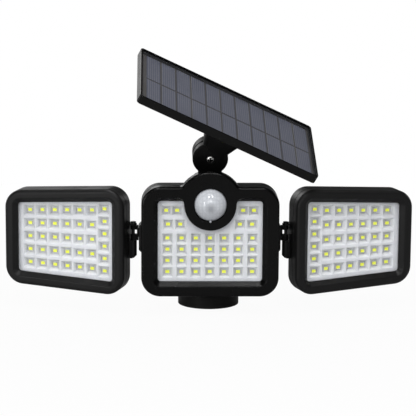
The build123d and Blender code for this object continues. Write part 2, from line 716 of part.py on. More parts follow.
def yoke():
    """Right-hand yoke about the tilt axis: spigot, round plate and two arms to the swivel pin."""
    plate_start = LUG_FACE_X + SLIDE_GAP / 2
    body = rod_x(YOKE_RADIUS, plate_start, plate_start + YOKE_PLATE)
    body += rod_x(YOKE_SPIGOT_RADIUS, LUG_FACE_X - LUG_ROOT - PART_GAP, plate_start)
    arm = block(plate_start, HINGE_X, -YOKE_END_RADIUS, YOKE_END_RADIUS, -YOKE_RADIUS, YOKE_RADIUS)
    arm += Pos(HINGE_X, 0, 0) * rod_z(YOKE_END_RADIUS, -YOKE_RADIUS, YOKE_RADIUS)
    slot_top = YOKE_RADIUS - YOKE_UPPER_ARM
    arm -= block(
        plate_start, HINGE_X + YOKE_END_RADIUS,
        -YOKE_END_RADIUS, YOKE_END_RADIUS,
        slot_top - YOKE_SLOT, slot_top,
    )
    body += arm
    body -= Pos(HINGE_X, 0, 0) * rod_z(HINGE_PIN_RADIUS + SHAFT_GAP, -YOKE_RADIUS, YOKE_RADIUS)
    bore_end = LUG_FACE_X - LUG_ROOT - PART_GAP
    return body - rod_x(RETAINER_SCREW_RADIUS, bore_end, bore_end + LUG_ROOT / 2)


def tilt_retainer():
    """Washer-head screw in the inner end of the yoke's spigot."""
    seat = LUG_FACE_X - LUG_ROOT - PART_GAP
    washer = rod_x(RETAINER_RADIUS, seat - RETAINER_THICK, seat)
    return washer + rod_x(RETAINER_SCREW_RADIUS, seat, seat + LUG_ROOT / 2)


# Panel neck and knuckle, in a frame whose Y is the knuckle's axis and whose origin is its seam
NECK_Y = HEAD_FRONT_Y + NECK_DEPTH
PITCH = math.radians(KNUCKLE_PITCH)
SEAM_Y = NECK_Y - KNUCKLE_REAR / 2 * math.cos(PITCH)
SEAM_Z = HEAD_Z + KNUCKLE_Z - KNUCKLE_REAR / 2 * math.sin(PITCH)
KNUCKLE_PLACE = Pos(0, SEAM_Y, SEAM_Z) * Rot(KNUCKLE_PITCH, 0, 0)
PANEL_PLACE = KNUCKLE_PLACE * Rot(0, PANEL_ROLL, 0)
PANEL_BACK = PANEL_FACE_HEIGHT - PANEL_THICK


def soft_disc(start, end):
    """Knuckle disc with eased edges."""
    disc = rod_y(KNUCKLE_RADIUS, start, end)
    return chamfer(disc.edges().filter_by(GeomType.CIRCLE), KNUCKLE_EDGE)


def panel_neck():
    """Swivelling neck: collar and stem on the head, and the rear half of the knuckle."""
    at_neck = Pos(0, NECK_Y, HEAD_Z + NECK_SEAT_Z)
    collar = rod_z(NECK_RADIUS, SLIDE_GAP / 2, NECK_COLLAR)
    collar = chamfer(collar.edges().filter_by(GeomType.CIRCLE).sort_by(Axis.Z)[-1:], KNUCKLE_EDGE)
    stem = rod_z(NECK_STEM_RADIUS, SLIDE_GAP / 2, KNUCKLE_Z - NECK_SEAT_Z)
    spigot = rod_z(NECK_SPIGOT_RADIUS, -NECK_BOSS_DROP - PART_GAP, SLIDE_GAP / 2)
    body = at_neck * (collar + stem + spigot)
    body -= KNUCKLE_PLACE * rod_y(KNUCKLE_RADIUS + SLIDE_GAP, -2 * KNUCKLE_RADIUS, SHAFT_GAP)
    body += KNUCKLE_PLACE * soft_disc(SHAFT_GAP, KNUCKLE_REAR)
    body -= KNUCKLE_PLACE * rod_y(KNUCKLE_SCREW_RADIUS, 0, KNUCKLE_REAR)
    body -= KNUCKLE_PLACE * nut_shape(PART_GAP)
    low = -NECK_BOSS_DROP - PART_GAP
    return body - at_neck * rod_z(RETAINER_SCREW_RADIUS, low, low + NECK_BOSS_DROP / 2)


def nut_shape(grow):
    """Hexagon of the knuckle nut at the rear of the knuckle, grown by a clearance."""
    hexagon = RegularPolygon(NUT_RADIUS + grow, 6)
    return slab(hexagon, KNUCKLE_REAR - NUT_THICK - grow, KNUCKLE_REAR)


def neck_retainer():
    """Washer-head screw that keeps the neck's spigot in its seat."""
    low = -NECK_BOSS_DROP - PART_GAP
    washer = rod_z(NECK_SPIGOT_RADIUS + RETAINER_THICK, low - RETAINER_THICK, low)
    return washer + rod_z(RETAINER_SCREW_RADIUS, low, low + NECK_BOSS_DROP / 2)


def knuckle_screw():
    """Pan-head screw along the knuckle's axis."""
    seat = KNUCKLE_SINK - KNUCKLE_FRONT
    head = rod_y(KNUCKLE_HEAD_RADIUS, seat - SHAFT_GAP - KNUCKLE_HEAD, seat - SHAFT_GAP)
    head = fillet(head.edges().filter_by(GeomType.CIRCLE).sort_by(Axis.Y)[:1], KNUCKLE_HEAD / 2)
    return head + rod_y(KNUCKLE_SCREW_RADIUS, seat - SHAFT_GAP, KNUCKLE_REAR)


def panel_pedestal():
    """Front half of the knuckle with the flared pedestal that carries the panel."""
    foot_depth = KNUCKLE_FRONT - SHAFT_GAP
    foot = RectangleRounded(PEDESTAL_FOOT_WIDTH, foot_depth, foot_depth / 2 - PART_GAP)
    web = RectangleRounded(PEDESTAL_WEB_WIDTH, PEDESTAL_TOP_DEPTH, PEDESTAL_CORNER)
    plate = RectangleRounded(PEDESTAL_TOP_WIDTH, PEDESTAL_TOP_DEPTH, PEDESTAL_CORNER)
    body = loft([
        Pos(0, -SHAFT_GAP - foot_depth / 2, PEDESTAL_FOOT_HEIGHT) * foot,
        Pos(0, PEDESTAL_TOP_SHIFT, PANEL_BACK - PEDESTAL_PLATE) * web,
    ])
    body += extrude(Pos(0, PEDESTAL_TOP_SHIFT, PANEL_BACK - PEDESTAL_PLATE) * plate, amount=PEDESTAL_PLATE)
    body -= rod_y(KNUCKLE_RADIUS + SLIDE_GAP, -SHAFT_GAP, KNUCKLE_REAR + PEDESTAL_TOP_DEPTH)
    body += soft_disc(-KNUCKLE_FRONT, -SHAFT_GAP)
    body -= rod_y(KNUCKLE_SCREW_RADIUS + SHAFT_GAP, -KNUCKLE_FRONT, 0)
    body -= rod_y(KNUCKLE_HEAD_RADIUS + PART_GAP, -KNUCKLE_FRONT, KNUCKLE_SINK - KNUCKLE_FRONT)
    return body - [place(spot, pedestal_screw()) for spot in pedestal_spots()]


def pedestal_spots():
    """Places of the screws from the panel tray into the pedestal."""
    return [
        Pos(x, PEDESTAL_TOP_SHIFT + y, PANEL_BACK + PANEL_FLOOR)
        for x in (-PEDESTAL_SCREW_X, PEDESTAL_SCREW_X)
        for y in (-PEDESTAL_SCREW_Y / 2, PEDESTAL_SCREW_Y / 2)
    ]


def pedestal_screw():
    """Shank of a screw that holds the panel tray down on the pedestal."""
    return rod_z(PEDESTAL_SCREW_RADIUS, -PANEL_FLOOR - PEDESTAL_SCREW_LENGTH, 0)


# Solar panel
TRAY_LENGTH = PANEL_LENGTH - 2 * PANEL_RIM
TRAY_WIDTH = PANEL_WIDTH - 2 * PANEL_RIM
GLASS_TOP = PANEL_FACE_HEIGHT - PANEL_LIP
CELLS_TOP = GLASS_TOP - GLASS_THICK
SHEET_TOP = CELLS_TOP - CELL_SHEET_THICK


def panel_layer(length, width, corner, bottom, top):
    """Rounded plate of the panel between two heights over the knuckle's axis."""
    outline = Pos(0, PANEL_SHIFT) * RectangleRounded(length, width, corner)
    return extrude(Plane.XY.offset(bottom) * outline, amount=top - bottom)


def panel_frame():
    """Moulded tray with a raised rim round the cell sheet."""
    body = panel_layer(PANEL_LENGTH, PANEL_WIDTH, PANEL_CORNER, PANEL_BACK, PANEL_FACE_HEIGHT)
    body = chamfer(body.faces().sort_by(Axis.Z)[0].edges(), PANEL_BACK_EDGE)
    inner_corner = PANEL_CORNER / 2
    body -= panel_layer(TRAY_LENGTH, TRAY_WIDTH, inner_corner, PANEL_BACK + PANEL_FLOOR, PANEL_FACE_HEIGHT)
    return body - [place(spot, pedestal_screw()) for spot in pedestal_spots()]


def panel_sheets():
    """Backing board, the cells in two rows and the clear front sheet."""
    length = TRAY_LENGTH - 2 * PART_GAP
    width = TRAY_WIDTH - 2 * PART_GAP
    corner = PANEL_CORNER / 2 - PART_GAP
    backing = panel_layer(length, width, corner, PANEL_BACK + PANEL_FLOOR, SHEET_TOP)
    glass = panel_layer(length, width, corner, CELLS_TOP, GLASS_TOP)
    pitch_x = (length + CELL_GAP - CELL_MARGIN_LEFT - CELL_MARGIN_RIGHT) / CELL_COLUMNS
    pitch_y = (width + CELL_ROW_GAP - 2 * CELL_MARGIN_Y) / CELL_ROWS
    middle = (CELL_MARGIN_LEFT - CELL_MARGIN_RIGHT) / 2
    cell = Pos(middle, PANEL_SHIFT, (SHEET_TOP + CELLS_TOP) / 2) * Box(
        pitch_x - CELL_GAP, pitch_y - CELL_ROW_GAP, CELL_SHEET_THICK
    )
    cells = GridLocations(pitch_x, pitch_y, CELL_COLUMNS, CELL_ROWS)
    return backing, [spot * cell for spot in cells], glass


# Foot and turntable


def mounting_foot():
    """Round foot with three sunk screw holes and a centre bore for the turntable."""
    body = rod_z(FOOT_RADIUS, 0, FOOT_HEIGHT)
    body = fillet(body.edges().filter_by(GeomType.CIRCLE).sort_by(Axis.Z)[-1:], FOOT_EDGE)
    for spot in PolarLocations(FOOT_HOLE_CIRCLE / 2, FOOT_HOLES, start_angle=90):
        body -= spot * rod_z(FOOT_HOLE_RADIUS, 0, FOOT_HEIGHT)
        body -= spot * rod_z(FOOT_HOLE_SINK_RADIUS, FOOT_FLOOR, FOOT_HEIGHT)
    body -= rod_z(FOOT_RECESS_RADIUS, 0, FOOT_RECESS_DEPTH)
    return body - rod_z(STEM_SPIGOT_RADIUS + SHAFT_GAP, 0, FOOT_HEIGHT)


FORK_INNER = LUG_WIDTH / 2 + SLIDE_GAP
FORK_OUTER = FORK_INNER + FORK_EAR_THICK
STEM_LOW = FOOT_RECESS_DEPTH - PART_GAP


def base_stem():
    """Turntable on the foot with the fork that the centre head tilts in."""
    bottom = FOOT_HEIGHT + SLIDE_GAP / 2
    body = rod_z(STEM_RADIUS, bottom, bottom + STEM_PLATE) + rod_z(STEM_SPIGOT_RADIUS, STEM_LOW, bottom)
    ear = Pos(0, 0, FORK_AXIS_Z) * rod_x(FORK_EAR_RADIUS, FORK_INNER, FORK_OUTER)
    ear += block(FORK_INNER, FORK_OUTER, -FORK_EAR_RADIUS, FORK_EAR_RADIUS, bottom, FORK_AXIS_Z)
    body += [ear, mirror(ear, about=Plane.YZ)]
    body -= Pos(0, 0, FORK_AXIS_Z) * rod_x(FORK_SCREW_RADIUS, -FORK_OUTER, FORK_OUTER)
    return body - rod_z(RETAINER_SCREW_RADIUS, STEM_LOW, FOOT_HEIGHT)


def base_retainer():
    """Washer-head screw under the foot that keeps the turntable down."""
    washer = rod_z(STEM_SPIGOT_RADIUS + RETAINER_THICK, STEM_LOW - RETAINER_THICK, STEM_LOW)
    return washer + rod_z(RETAINER_SCREW_RADIUS, STEM_LOW, FOOT_HEIGHT)


def fork_screw():
    """Screw through the fork and the centre head's lug."""
    axis = Pos(0, 0, FORK_AXIS_Z)
    head = rod_x(KNUCKLE_HEAD_RADIUS, FORK_OUTER, FORK_OUTER + KNUCKLE_HEAD)
    return axis * (head + rod_x(FORK_SCREW_RADIUS, -FORK_OUTER - NUT_THICK, FORK_OUTER))


def fork_nut():
    """Nut on the far end of the fork screw."""
    hexagon = RegularPolygon(NUT_RADIUS, 6) - Circle(FORK_SCREW_RADIUS)
    plane = Plane.YZ.offset(-FORK_OUTER - NUT_THICK)
    return Pos(0, 0, FORK_AXIS_Z) * extrude(plane * hexagon, amount=NUT_THICK)


def knuckle_nut():
    """Nut in the hexagon pocket behind the knuckle."""
    return nut_shape(0) - rod_y(KNUCKLE_SCREW_RADIUS, 0, KNUCKLE_REAR)


# Assembly
HEAD_PLACE = Pos(0, HEAD_FRONT_Y, HEAD_Z)
SIDE_PLACE = Pos(HINGE_X, HINGE_Y, SIDE_Z) * Rot(0, 0, SIDE_YAW) * Pos(0, -HINGE_PIN_DEPTH, 0)
PIN_PLACE = Pos(HINGE_X, HINGE_Y, SIDE_Z)
YOKE_PLACE = Pos(0, HINGE_Y, TILT_Z)
NECK_PLACE = Pos(0, NECK_Y, HEAD_Z + NECK_SEAT_Z)


def foot_nodes():
    """Foot, turntable and their fasteners."""
    return {
        "mounting_foot": mounting_foot(),
        "base_stem": base_stem(),
        "base_retainer_screw": base_retainer(),
        "base_tilt_screw": fork_screw(),
        "base_tilt_nut": fork_nut(),
    }


def head_nodes():
    """Every piece of the centre head."""
    cover, tray, board, leds = head_stack()
    can, sensor_board, control, switch, cell = head_inner_pieces()
    screw = case_screw(SCREW_SEAT, SCREW_SEAT - HEAD_BEZEL_DEPTH + CASE_SCREW_BITE)
    local = {
        "centre_bezel": head_bezel(),
        "centre_housing": head_housing(),
        "centre_cover": cover,
        "centre_reflector": tray,
        "centre_led_board": board,
        "centre_leds": leds,
        "centre_seal": head_seal(),
        "centre_case_screws": [Pos(x, 0, z) * screw for x, z in CASE_SPOTS],
        "sensor_dome": sensor_dome(),
        "sensor_can": can,
        "sensor_board": sensor_board,
        "control_board": control,
        "control_screws": control_screws(),
        "switch_body": switch,
        "switch_button": push_button(),
        "battery_cell": cell,
    }
    return {name: place(HEAD_PLACE, piece) for name, piece in local.items()}


def side_nodes():
    """Every piece of the right-hand side head and its hinge."""
    cover, tray, board, leds = side_stack()
    screw = case_screw(SCREW_SEAT, SCREW_SEAT - SIDE_BEZEL_DEPTH + CASE_SCREW_BITE)
    local = {
        "bezel": side_bezel(),
        "housing": side_housing(),
        "cover": cover,
        "reflector": tray,
        "led_board": board,
        "leds": leds,
        "seal": side_seal(),
        "case_screws": [Pos(x, 0, z) * screw for x, z in side_screw_spots()],
    }
    nodes = {name: place(SIDE_PLACE, piece) for name, piece in local.items()}
    nodes["swivel_pin"] = PIN_PLACE * swivel_pin()
    nodes["yoke"] = YOKE_PLACE * yoke()
    nodes["yoke_retainer_screw"] = YOKE_PLACE * tilt_retainer()
    return nodes


def panel_nodes():
    """Neck, knuckle and solar panel."""
    backing, cells, glass = panel_sheets()
    return {
        "panel_neck": panel_neck(),
        "neck_retainer_screw": NECK_PLACE * neck_retainer(),
        "knuckle_screw": KNUCKLE_PLACE * knuckle_screw(),
        "knuckle_nut": KNUCKLE_PLACE * knuckle_nut(),
        "panel_pedestal": PANEL_PLACE * panel_pedestal(),
        "panel_frame": PANEL_PLACE * panel_frame(),
        "panel_backing": PANEL_PLACE * backing,
        "solar_cells": place(PANEL_PLACE, cells),
        "panel_glass": PANEL_PLACE * glass,
        "pedestal_screws": [PANEL_PLACE * spot * pedestal_screw() for spot in pedestal_spots()],
    }


def mirrored(piece):
    """Left-hand twin of a right-hand piece."""
    if isinstance(piece, list):
        return [mirror(one, about=Plane.YZ) for one in piece]
    return mirror(piece, about=Plane.YZ)


def assembly():
    """Every node of the lamp by name."""
    nodes = foot_nodes() | head_nodes() | panel_nodes()
    for name, piece in side_nodes().items():
        nodes[f"right_{name}"] = piece
        nodes[f"left_{name}"] = mirrored(piece)
    return nodes


def main():
    """Write one file per node."""
    os.makedirs("parts", exist_ok=True)
    for name, piece in assembly().items():
        solid = Compound(children=piece) if isinstance(piece, list) else piece
        export_step(solid, f"parts/{name}.step")


if __name__ == "__main__":
    main()
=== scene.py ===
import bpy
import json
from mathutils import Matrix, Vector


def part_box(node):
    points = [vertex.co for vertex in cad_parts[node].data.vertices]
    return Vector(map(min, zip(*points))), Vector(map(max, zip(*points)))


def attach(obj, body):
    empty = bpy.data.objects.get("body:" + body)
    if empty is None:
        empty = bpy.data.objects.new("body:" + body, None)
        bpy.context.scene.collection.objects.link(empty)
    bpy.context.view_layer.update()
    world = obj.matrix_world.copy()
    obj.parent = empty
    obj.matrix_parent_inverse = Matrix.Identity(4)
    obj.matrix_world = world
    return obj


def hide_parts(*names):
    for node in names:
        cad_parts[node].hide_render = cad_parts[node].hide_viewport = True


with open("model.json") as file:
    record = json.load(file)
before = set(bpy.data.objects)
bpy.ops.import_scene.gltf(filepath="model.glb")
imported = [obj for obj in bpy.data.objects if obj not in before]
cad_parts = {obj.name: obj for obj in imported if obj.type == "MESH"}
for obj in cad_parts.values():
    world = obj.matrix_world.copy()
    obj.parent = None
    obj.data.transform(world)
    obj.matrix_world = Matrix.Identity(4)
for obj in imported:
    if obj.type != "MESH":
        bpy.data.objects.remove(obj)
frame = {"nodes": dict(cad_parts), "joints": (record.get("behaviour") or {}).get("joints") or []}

"""Looks of a three-headed solar floodlight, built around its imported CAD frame.

Moulded shells are softened copies of their CAD nodes. LEDs, sensor lens, knuckle teeth and screws
are modelled anew with bmesh operators. Everything is in metres, in the frame of the CAD.
"""
import json
import logging
import math
from dataclasses import dataclass, field
from enum import Enum
from typing import Dict, List, Optional, Sequence, Tuple

import bmesh
import bpy
from mathutils import Matrix, Vector

LOG = logging.getLogger("floodlight")
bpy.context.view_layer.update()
MM = 0.001
Colour = Tuple[float, float, float]
Span = Tuple[float, float]
WHOLE: Span = (0.0, 1.0)


def grey(level: float) -> Colour:
    """Neutral colour of one level."""
    return level, level, level


class Head(Enum):
    """The three LED heads, by the prefix of their nodes."""

    CENTRE = "centre"
    LEFT = "left"
    RIGHT = "right"

    @property
    def body(self) -> str:
        """Body that the head's pieces ride on."""
        return f"{self.value}_head"

    def node(self, piece: str) -> str:
        """Name of one of the head's nodes."""
        return f"{self.value}_{piece}"


# Shader graphs


class Graph:
    """Short-hand for filling a node tree."""

    MIX_FACTOR = 0
    MIX_COLOURS = (6, 7)
    MIX_RESULT = 2

    def __init__(self, tree: bpy.types.NodeTree) -> None:
        """Keep the tree that is filled.

        Args:
            tree: Node tree of a material, world or group.
        """
        self.tree = tree

    def put(self, socket: bpy.types.NodeSocket, value: object) -> None:
        """Link a socket to another one, or set its value."""
        if isinstance(value, bpy.types.NodeSocket):
            self.tree.links.new(value, socket)
        else:
            socket.default_value = value

    def add(self, kind: str, inputs: Optional[Dict] = None, **settings: object) -> bpy.types.Node:
        """Add a node.

        Args:
            kind: Blender's name of the node type.
            inputs: Values, or sockets to link from, by socket name or number.
            settings: Properties of the node, set before its sockets.

        Returns:
            The new node.
        """
        node = self.tree.nodes.new(kind)
        for name, value in settings.items():
            setattr(node, name, value)
        for name, value in (inputs or {}).items():
            self.put(node.inputs[name], value)
        return node

    def mix(self, factor: object, first: object, second: object) -> bpy.types.NodeSocket:
        """Mix two colours.

        Args:
            factor: Number or socket, 0 for the first colour.
            first: Colour or socket.
            second: Colour or socket.

        Returns:
            Socket of the mixed colour.
        """
        node = self.tree.nodes.new("ShaderNodeMix")
        node.data_type = "RGBA"
        self.put(node.inputs[self.MIX_FACTOR], factor)
        for index, value in zip(self.MIX_COLOURS, (first, second)):
            self.put(node.inputs[index], (*value, 1.0) if isinstance(value, tuple) else value)
        return node.outputs[self.MIX_RESULT]

    def math(self, operation: str, first: object, second: object) -> bpy.types.NodeSocket:
        """Work out a number.

        Args:
            operation: Blender's name of the operation.
            first: Number or socket.
            second: Number or socket.

        Returns:
            Socket of the result.
        """
        node = self.tree.nodes.new("ShaderNodeMath")
        node.operation = operation
        self.put(node.inputs[0], first)
        self.put(node.inputs[1], second)
        return node.outputs[0]

    def remap(self, value: bpy.types.NodeSocket, old: Span, new: Span) -> bpy.types.NodeSocket:
        """Map one range of numbers to another, clamped.

        Args:
            value: Socket of the number.
            old: Range that is read.
            new: Range that comes out.

        Returns:
            Socket of the result.
        """
        node = self.add("ShaderNodeMapRange", {
            "Value": value, "From Min": old[0], "From Max": old[1], "To Min": new[0], "To Max": new[1],
        })
        return node.outputs["Result"]

    def noise(
        self, vector: object, scale: object, detail: float, roughness: float
    ) -> bpy.types.NodeSocket:
        """Add a noise texture.

        Args:
            vector: Socket of the coordinates.
            scale: Number or socket.
            detail: Octaves.
            roughness: Weight of the fine octaves.

        Returns:
            Socket of the noise.
        """
        return self.add("ShaderNodeTexNoise", {
            "Vector": vector, "Scale": scale, "Detail": detail, "Roughness": roughness,
        }).outputs["Fac"]

    def place(self) -> bpy.types.NodeSocket:
        """Socket of the Object coordinates."""
        return self.add("ShaderNodeTexCoord").outputs["Object"]

    def bump(self, height: object, strength: float, depth: float) -> bpy.types.NodeSocket:
        """Turn a height into a normal.

        Args:
            height: Socket of the height, 0 to 1.
            strength: Share of the effect.
            depth: Height of 1, in metres.

        Returns:
            Socket of the normal.
        """
        return self.add("ShaderNodeBump", {
            "Height": height, "Strength": strength, "Distance": depth,
        }).outputs["Normal"]


class Effects:
    """Shader node groups that several finishes share, each built once."""

    @staticmethod
    def _started(
        name: str, inputs: Dict[str, float], outputs: Sequence[str]
    ) -> Tuple[Graph, Dict, Dict]:
        """Start a group with a Vector input and named number sockets.

        Args:
            name: Group's name.
            inputs: Default values by socket name.
            outputs: Names of the number outputs.

        Returns:
            Graph of the new group, its inner input sockets and its inner output sockets.
        """
        tree = bpy.data.node_groups.new(name, "ShaderNodeTree")
        tree.interface.new_socket("Vector", in_out="INPUT", socket_type="NodeSocketVector")
        for label, value in inputs.items():
            socket = tree.interface.new_socket(label, in_out="INPUT", socket_type="NodeSocketFloat")
            socket.default_value = value
        for label in outputs:
            tree.interface.new_socket(label, in_out="OUTPUT", socket_type="NodeSocketFloat")
        graph = Graph(tree)
        return graph, graph.add("NodeGroupInput").outputs, graph.add("NodeGroupOutput").inputs

    @classmethod
    def mould_grain(cls) -> bpy.types.NodeTree:
        """Spark-eroded mould texture: fine height grain and a slow mottle.

        Returns:
            Group with Height and Mottle outputs.
        """
        found = bpy.data.node_groups.get("MouldGrain")
        if found:
            return found
        graph, given, out = cls._started(
            "MouldGrain", {"Grain": 2600.0, "Mottle Scale": 40.0}, ("Height", "Mottle")
        )
        graph.put(out["Height"], graph.noise(given["Vector"], given["Grain"], 3.0, 0.6))
        slow = graph.noise(given["Vector"], given["Mottle Scale"], 4.0, 0.55)
        graph.put(out["Mottle"], graph.remap(slow, (0.3, 0.7), WHOLE))
        return graph.tree

    @classmethod
    def handling(cls) -> bpy.types.NodeTree:
        """Faint rub marks and dust specks from handling.

        Returns:
            Group with Rub and Dust outputs.
        """
        found = bpy.data.node_groups.get("Handling")
        if found:
            return found
        graph, given, out = cls._started(
            "Handling", {"Rub Scale": 60.0, "Dust Scale": 900.0}, ("Rub", "Dust")
        )
        drawn = graph.add("ShaderNodeMapping", {"Vector": given["Vector"], "Scale": (1.0, 1.0, 0.12)})
        rub = graph.noise(drawn.outputs["Vector"], given["Rub Scale"], 6.0, 0.7)
        specks = graph.add("ShaderNodeTexVoronoi", {
            "Vector": given["Vector"], "Scale": given["Dust Scale"], "Randomness": 1.0,
        })
        graph.put(out["Rub"], graph.remap(rub, (0.56, 0.72), WHOLE))
        graph.put(out["Dust"], graph.remap(specks.outputs["Distance"], (0.16, 0.06), WHOLE))
        return graph.tree

    @staticmethod
    def placed(graph: Graph, tree: bpy.types.NodeTree, values: Dict[str, object]) -> Dict:
        """Place a group in a material.

        Args:
            graph: Graph of the material.
            tree: The group.
            values: Values or sockets by the group's socket names.

        Returns:
            The group node's outputs.
        """
        return graph.add("ShaderNodeGroup", values, node_tree=tree).outputs


# Finishes


@dataclass(frozen=True)
class Finish:
    """A surface finish that gives one material, made at its first use."""

    name: str
    slot: str

    def material(self) -> bpy.types.Material:
        """Material of the finish.

        Returns:
            The material, filled on the first call.
        """
        found = bpy.data.materials.get(self.name)
        if found is None:
            found = bpy.data.materials.new(self.name)
            found.use_nodes = True
            self.shade(Graph(found.node_tree), found.node_tree.nodes["Principled BSDF"].inputs)
        return found

    def shade(self, graph: Graph, shader: Dict) -> None:
        """Fill the material's graph.

        Args:
            graph: Graph of the material.
            shader: Sockets of its Principled shader.
        """
        raise NotImplementedError


@dataclass(frozen=True)
class Moulding(Finish):
    """Grained injection-moulded plastic with faint rub marks and dust."""

    colour: Colour
    rubbed: Colour
    dusted: Colour = grey(0.06)
    roughness: Span = (0.42, 0.55)
    specular: float = 0.2
    depth: float = 0.03 * MM
    mottling: float = 0.3
    rubbing: float = 0.5
    dusting: float = 0.3
    relief: float = 0.35

    def shade(self, graph: Graph, shader: Dict) -> None:
        """Mottle the colour and the gloss, pale the rubbed places and raise the grain."""
        place = graph.place()
        mould = Effects.placed(graph, Effects.mould_grain(), {"Vector": place})
        wear = Effects.placed(graph, Effects.handling(), {"Vector": place})
        mottle = graph.math("MULTIPLY", mould["Mottle"], self.mottling)
        worn = graph.math("MAXIMUM", mottle, graph.math("MULTIPLY", wear["Rub"], self.rubbing))
        tone = graph.mix(worn, self.colour, self.rubbed)
        dust = graph.math("MULTIPLY", wear["Dust"], self.dusting)
        graph.put(shader["Base Color"], graph.mix(dust, tone, self.dusted))
        graph.put(shader["Roughness"], graph.remap(mould["Mottle"], WHOLE, self.roughness))
        graph.put(shader["Normal"], graph.bump(mould["Height"], self.relief, self.depth))
        shader["Specular IOR Level"].default_value = self.specular


@dataclass(frozen=True)
class TrayPaint(Finish):
    """Satin white paint of the reflector trays, a little uneven like sprayed paint."""

    colour: Colour = (0.78, 0.80, 0.84)
    shaded: Colour = (0.73, 0.75, 0.79)
    roughness: Span = (0.3, 0.42)
    relief: float = 0.25
    peel: float = 0.05 * MM
    specular: float = 0.45
    scatter: float = 0.8
    scatter_radius: float = 5.0 * MM

    def shade(self, graph: Graph, shader: Dict) -> None:
        """Cloud the paint and give it orange-peel."""
        mould = Effects.placed(graph, Effects.mould_grain(), {
            "Vector": graph.place(), "Grain": 900.0, "Mottle Scale": 160.0,
        })
        graph.put(shader["Base Color"], graph.mix(mould["Mottle"], self.colour, self.shaded))
        graph.put(shader["Roughness"], graph.remap(mould["Mottle"], WHOLE, self.roughness))
        graph.put(shader["Normal"], graph.bump(mould["Height"], self.relief, self.peel))
        shader["Specular IOR Level"].default_value = self.specular
        shader["Subsurface Weight"].default_value = self.scatter
        shader["Subsurface Radius"].default_value = grey(self.scatter_radius)
        shader["Subsurface Scale"].default_value = 1.0


@dataclass(frozen=True)
class Phosphor(Finish):
    """Yellow phosphor gel of an LED, grainy, with a faint painted glow for its fluorescence in
    daylight.
    """

    colour: Colour = (0.89, 0.97, 0.035)
    deep: Colour = (0.80, 0.86, 0.022)
    painted_glow: float = 0.36
    roughness: Span = (0.22, 0.4)
    relief: float = 0.3
    depth: float = 0.03 * MM

    def shade(self, graph: Graph, shader: Dict) -> None:
        """Vary the yellow from grain to grain."""
        mould = Effects.placed(graph, Effects.mould_grain(), {
            "Vector": graph.place(), "Grain": 5200.0, "Mottle Scale": 420.0,
        })
        gel = graph.mix(mould["Mottle"], self.colour, self.deep)
        graph.put(shader["Base Color"], gel)
        # Painted glow: the gel's colour is also emitted, so the unlit LED shines a little as if
        # fluorescing.
        graph.put(shader["Emission Color"], gel)
        shader["Emission Strength"].default_value = self.painted_glow
        graph.put(shader["Roughness"], graph.remap(mould["Height"], (0.3, 0.7), self.roughness))
        graph.put(shader["Normal"], graph.bump(mould["Height"], self.relief, self.depth))


@dataclass(frozen=True)
class Lens(Finish):
    """Milky, faceted lens plastic of the motion sensor, with painted shade in its grooves and over the
    dimly seen sensing element.
    """

    colour: Colour = (0.57, 0.59, 0.62)
    cloudy: Colour = (0.48, 0.50, 0.53)
    groove_shade: Colour = (0.38, 0.40, 0.43)
    shadowed: Colour = (0.26, 0.27, 0.29)
    facet: float = 2.7 * MM
    facet_jitter: float = 0.2
    facet_depth: float = 0.25 * MM
    relief: float = 0.03
    groove_edge: float = 0.16
    groove_shade_share: float = 0.45
    painted_shade_centre: Tuple[float, float, float] = (0.0, 0.0, 0.0)
    painted_shade_radius: float = 5.0 * MM
    painted_shade_core: float = 0.2
    painted_shade_share: float = 0.8
    roughness: Span = (0.07, 0.16)
    scatter: float = 0.12
    scatter_radius: float = 1.2 * MM

    def shade(self, graph: Graph, shader: Dict) -> None:
        """Cloud the lens, paint shade into its facet grooves and paint a soft circle of shade where the
        sensing element shows through.
        """
        place = graph.place()
        mould = Effects.placed(graph, Effects.mould_grain(), {
            "Vector": place, "Grain": 1800.0, "Mottle Scale": 90.0,
        })
        wear = Effects.placed(graph, Effects.handling(), {"Vector": place, "Dust Scale": 700.0})
        # Painted shade: a soft dark circle round the lens's axis stands in for the sensing element seen
        # dimly through the milky lens.
        behind = graph.remap(
            self._from_axis(graph, place),
            (self.painted_shade_radius, self.painted_shade_core * self.painted_shade_radius), (0.0, self.painted_shade_share),
        )
        pattern = {"Vector": place, "Scale": 1.0 / self.facet, "Randomness": self.facet_jitter}
        cut = graph.add("ShaderNodeTexVoronoi", pattern, feature="DISTANCE_TO_EDGE")
        border = cut.outputs["Distance"]
        tone = graph.add("ShaderNodeTexVoronoi", pattern).outputs["Color"]
        # Painted shade: the facet borders are darkened in the colour, standing in for the shade in the
        # grooves between the facets.
        groove_shade_mask = graph.remap(border, (self.groove_edge, 0.0), WHOLE)
        milk = graph.mix(graph.math("MULTIPLY", tone, mould["Mottle"]), self.colour, self.cloudy)
        milk = graph.mix(graph.math("MULTIPLY", groove_shade_mask, self.groove_shade_share), milk, self.groove_shade)
        graph.put(shader["Base Color"], graph.mix(behind, milk, self.shadowed))
        graph.put(shader["Roughness"], graph.remap(wear["Rub"], WHOLE, self.roughness))
        graph.put(shader["Normal"], graph.bump(border, self.relief, self.facet_depth))
        shader["Subsurface Weight"].default_value = self.scatter
        shader["Subsurface Radius"].default_value = grey(self.scatter_radius)

    def _from_axis(self, graph: Graph, place: bpy.types.NodeSocket) -> bpy.types.NodeSocket:
        """Distance from the axis through the painted shade circle, with the depth scaled away.

        Args:
            graph: Graph of the material.
            place: Socket of the coordinates.

        Returns:
            Socket of the distance.
        """
        local = graph.add("ShaderNodeMapping", {
            "Vector": place, "Location": self.painted_shade_centre, "Scale": (1.0, 1000.0, 1.0),
        }, vector_type="TEXTURE").outputs["Vector"]
        return graph.add("ShaderNodeVectorMath", {0: local}, operation="LENGTH").outputs["Value"]


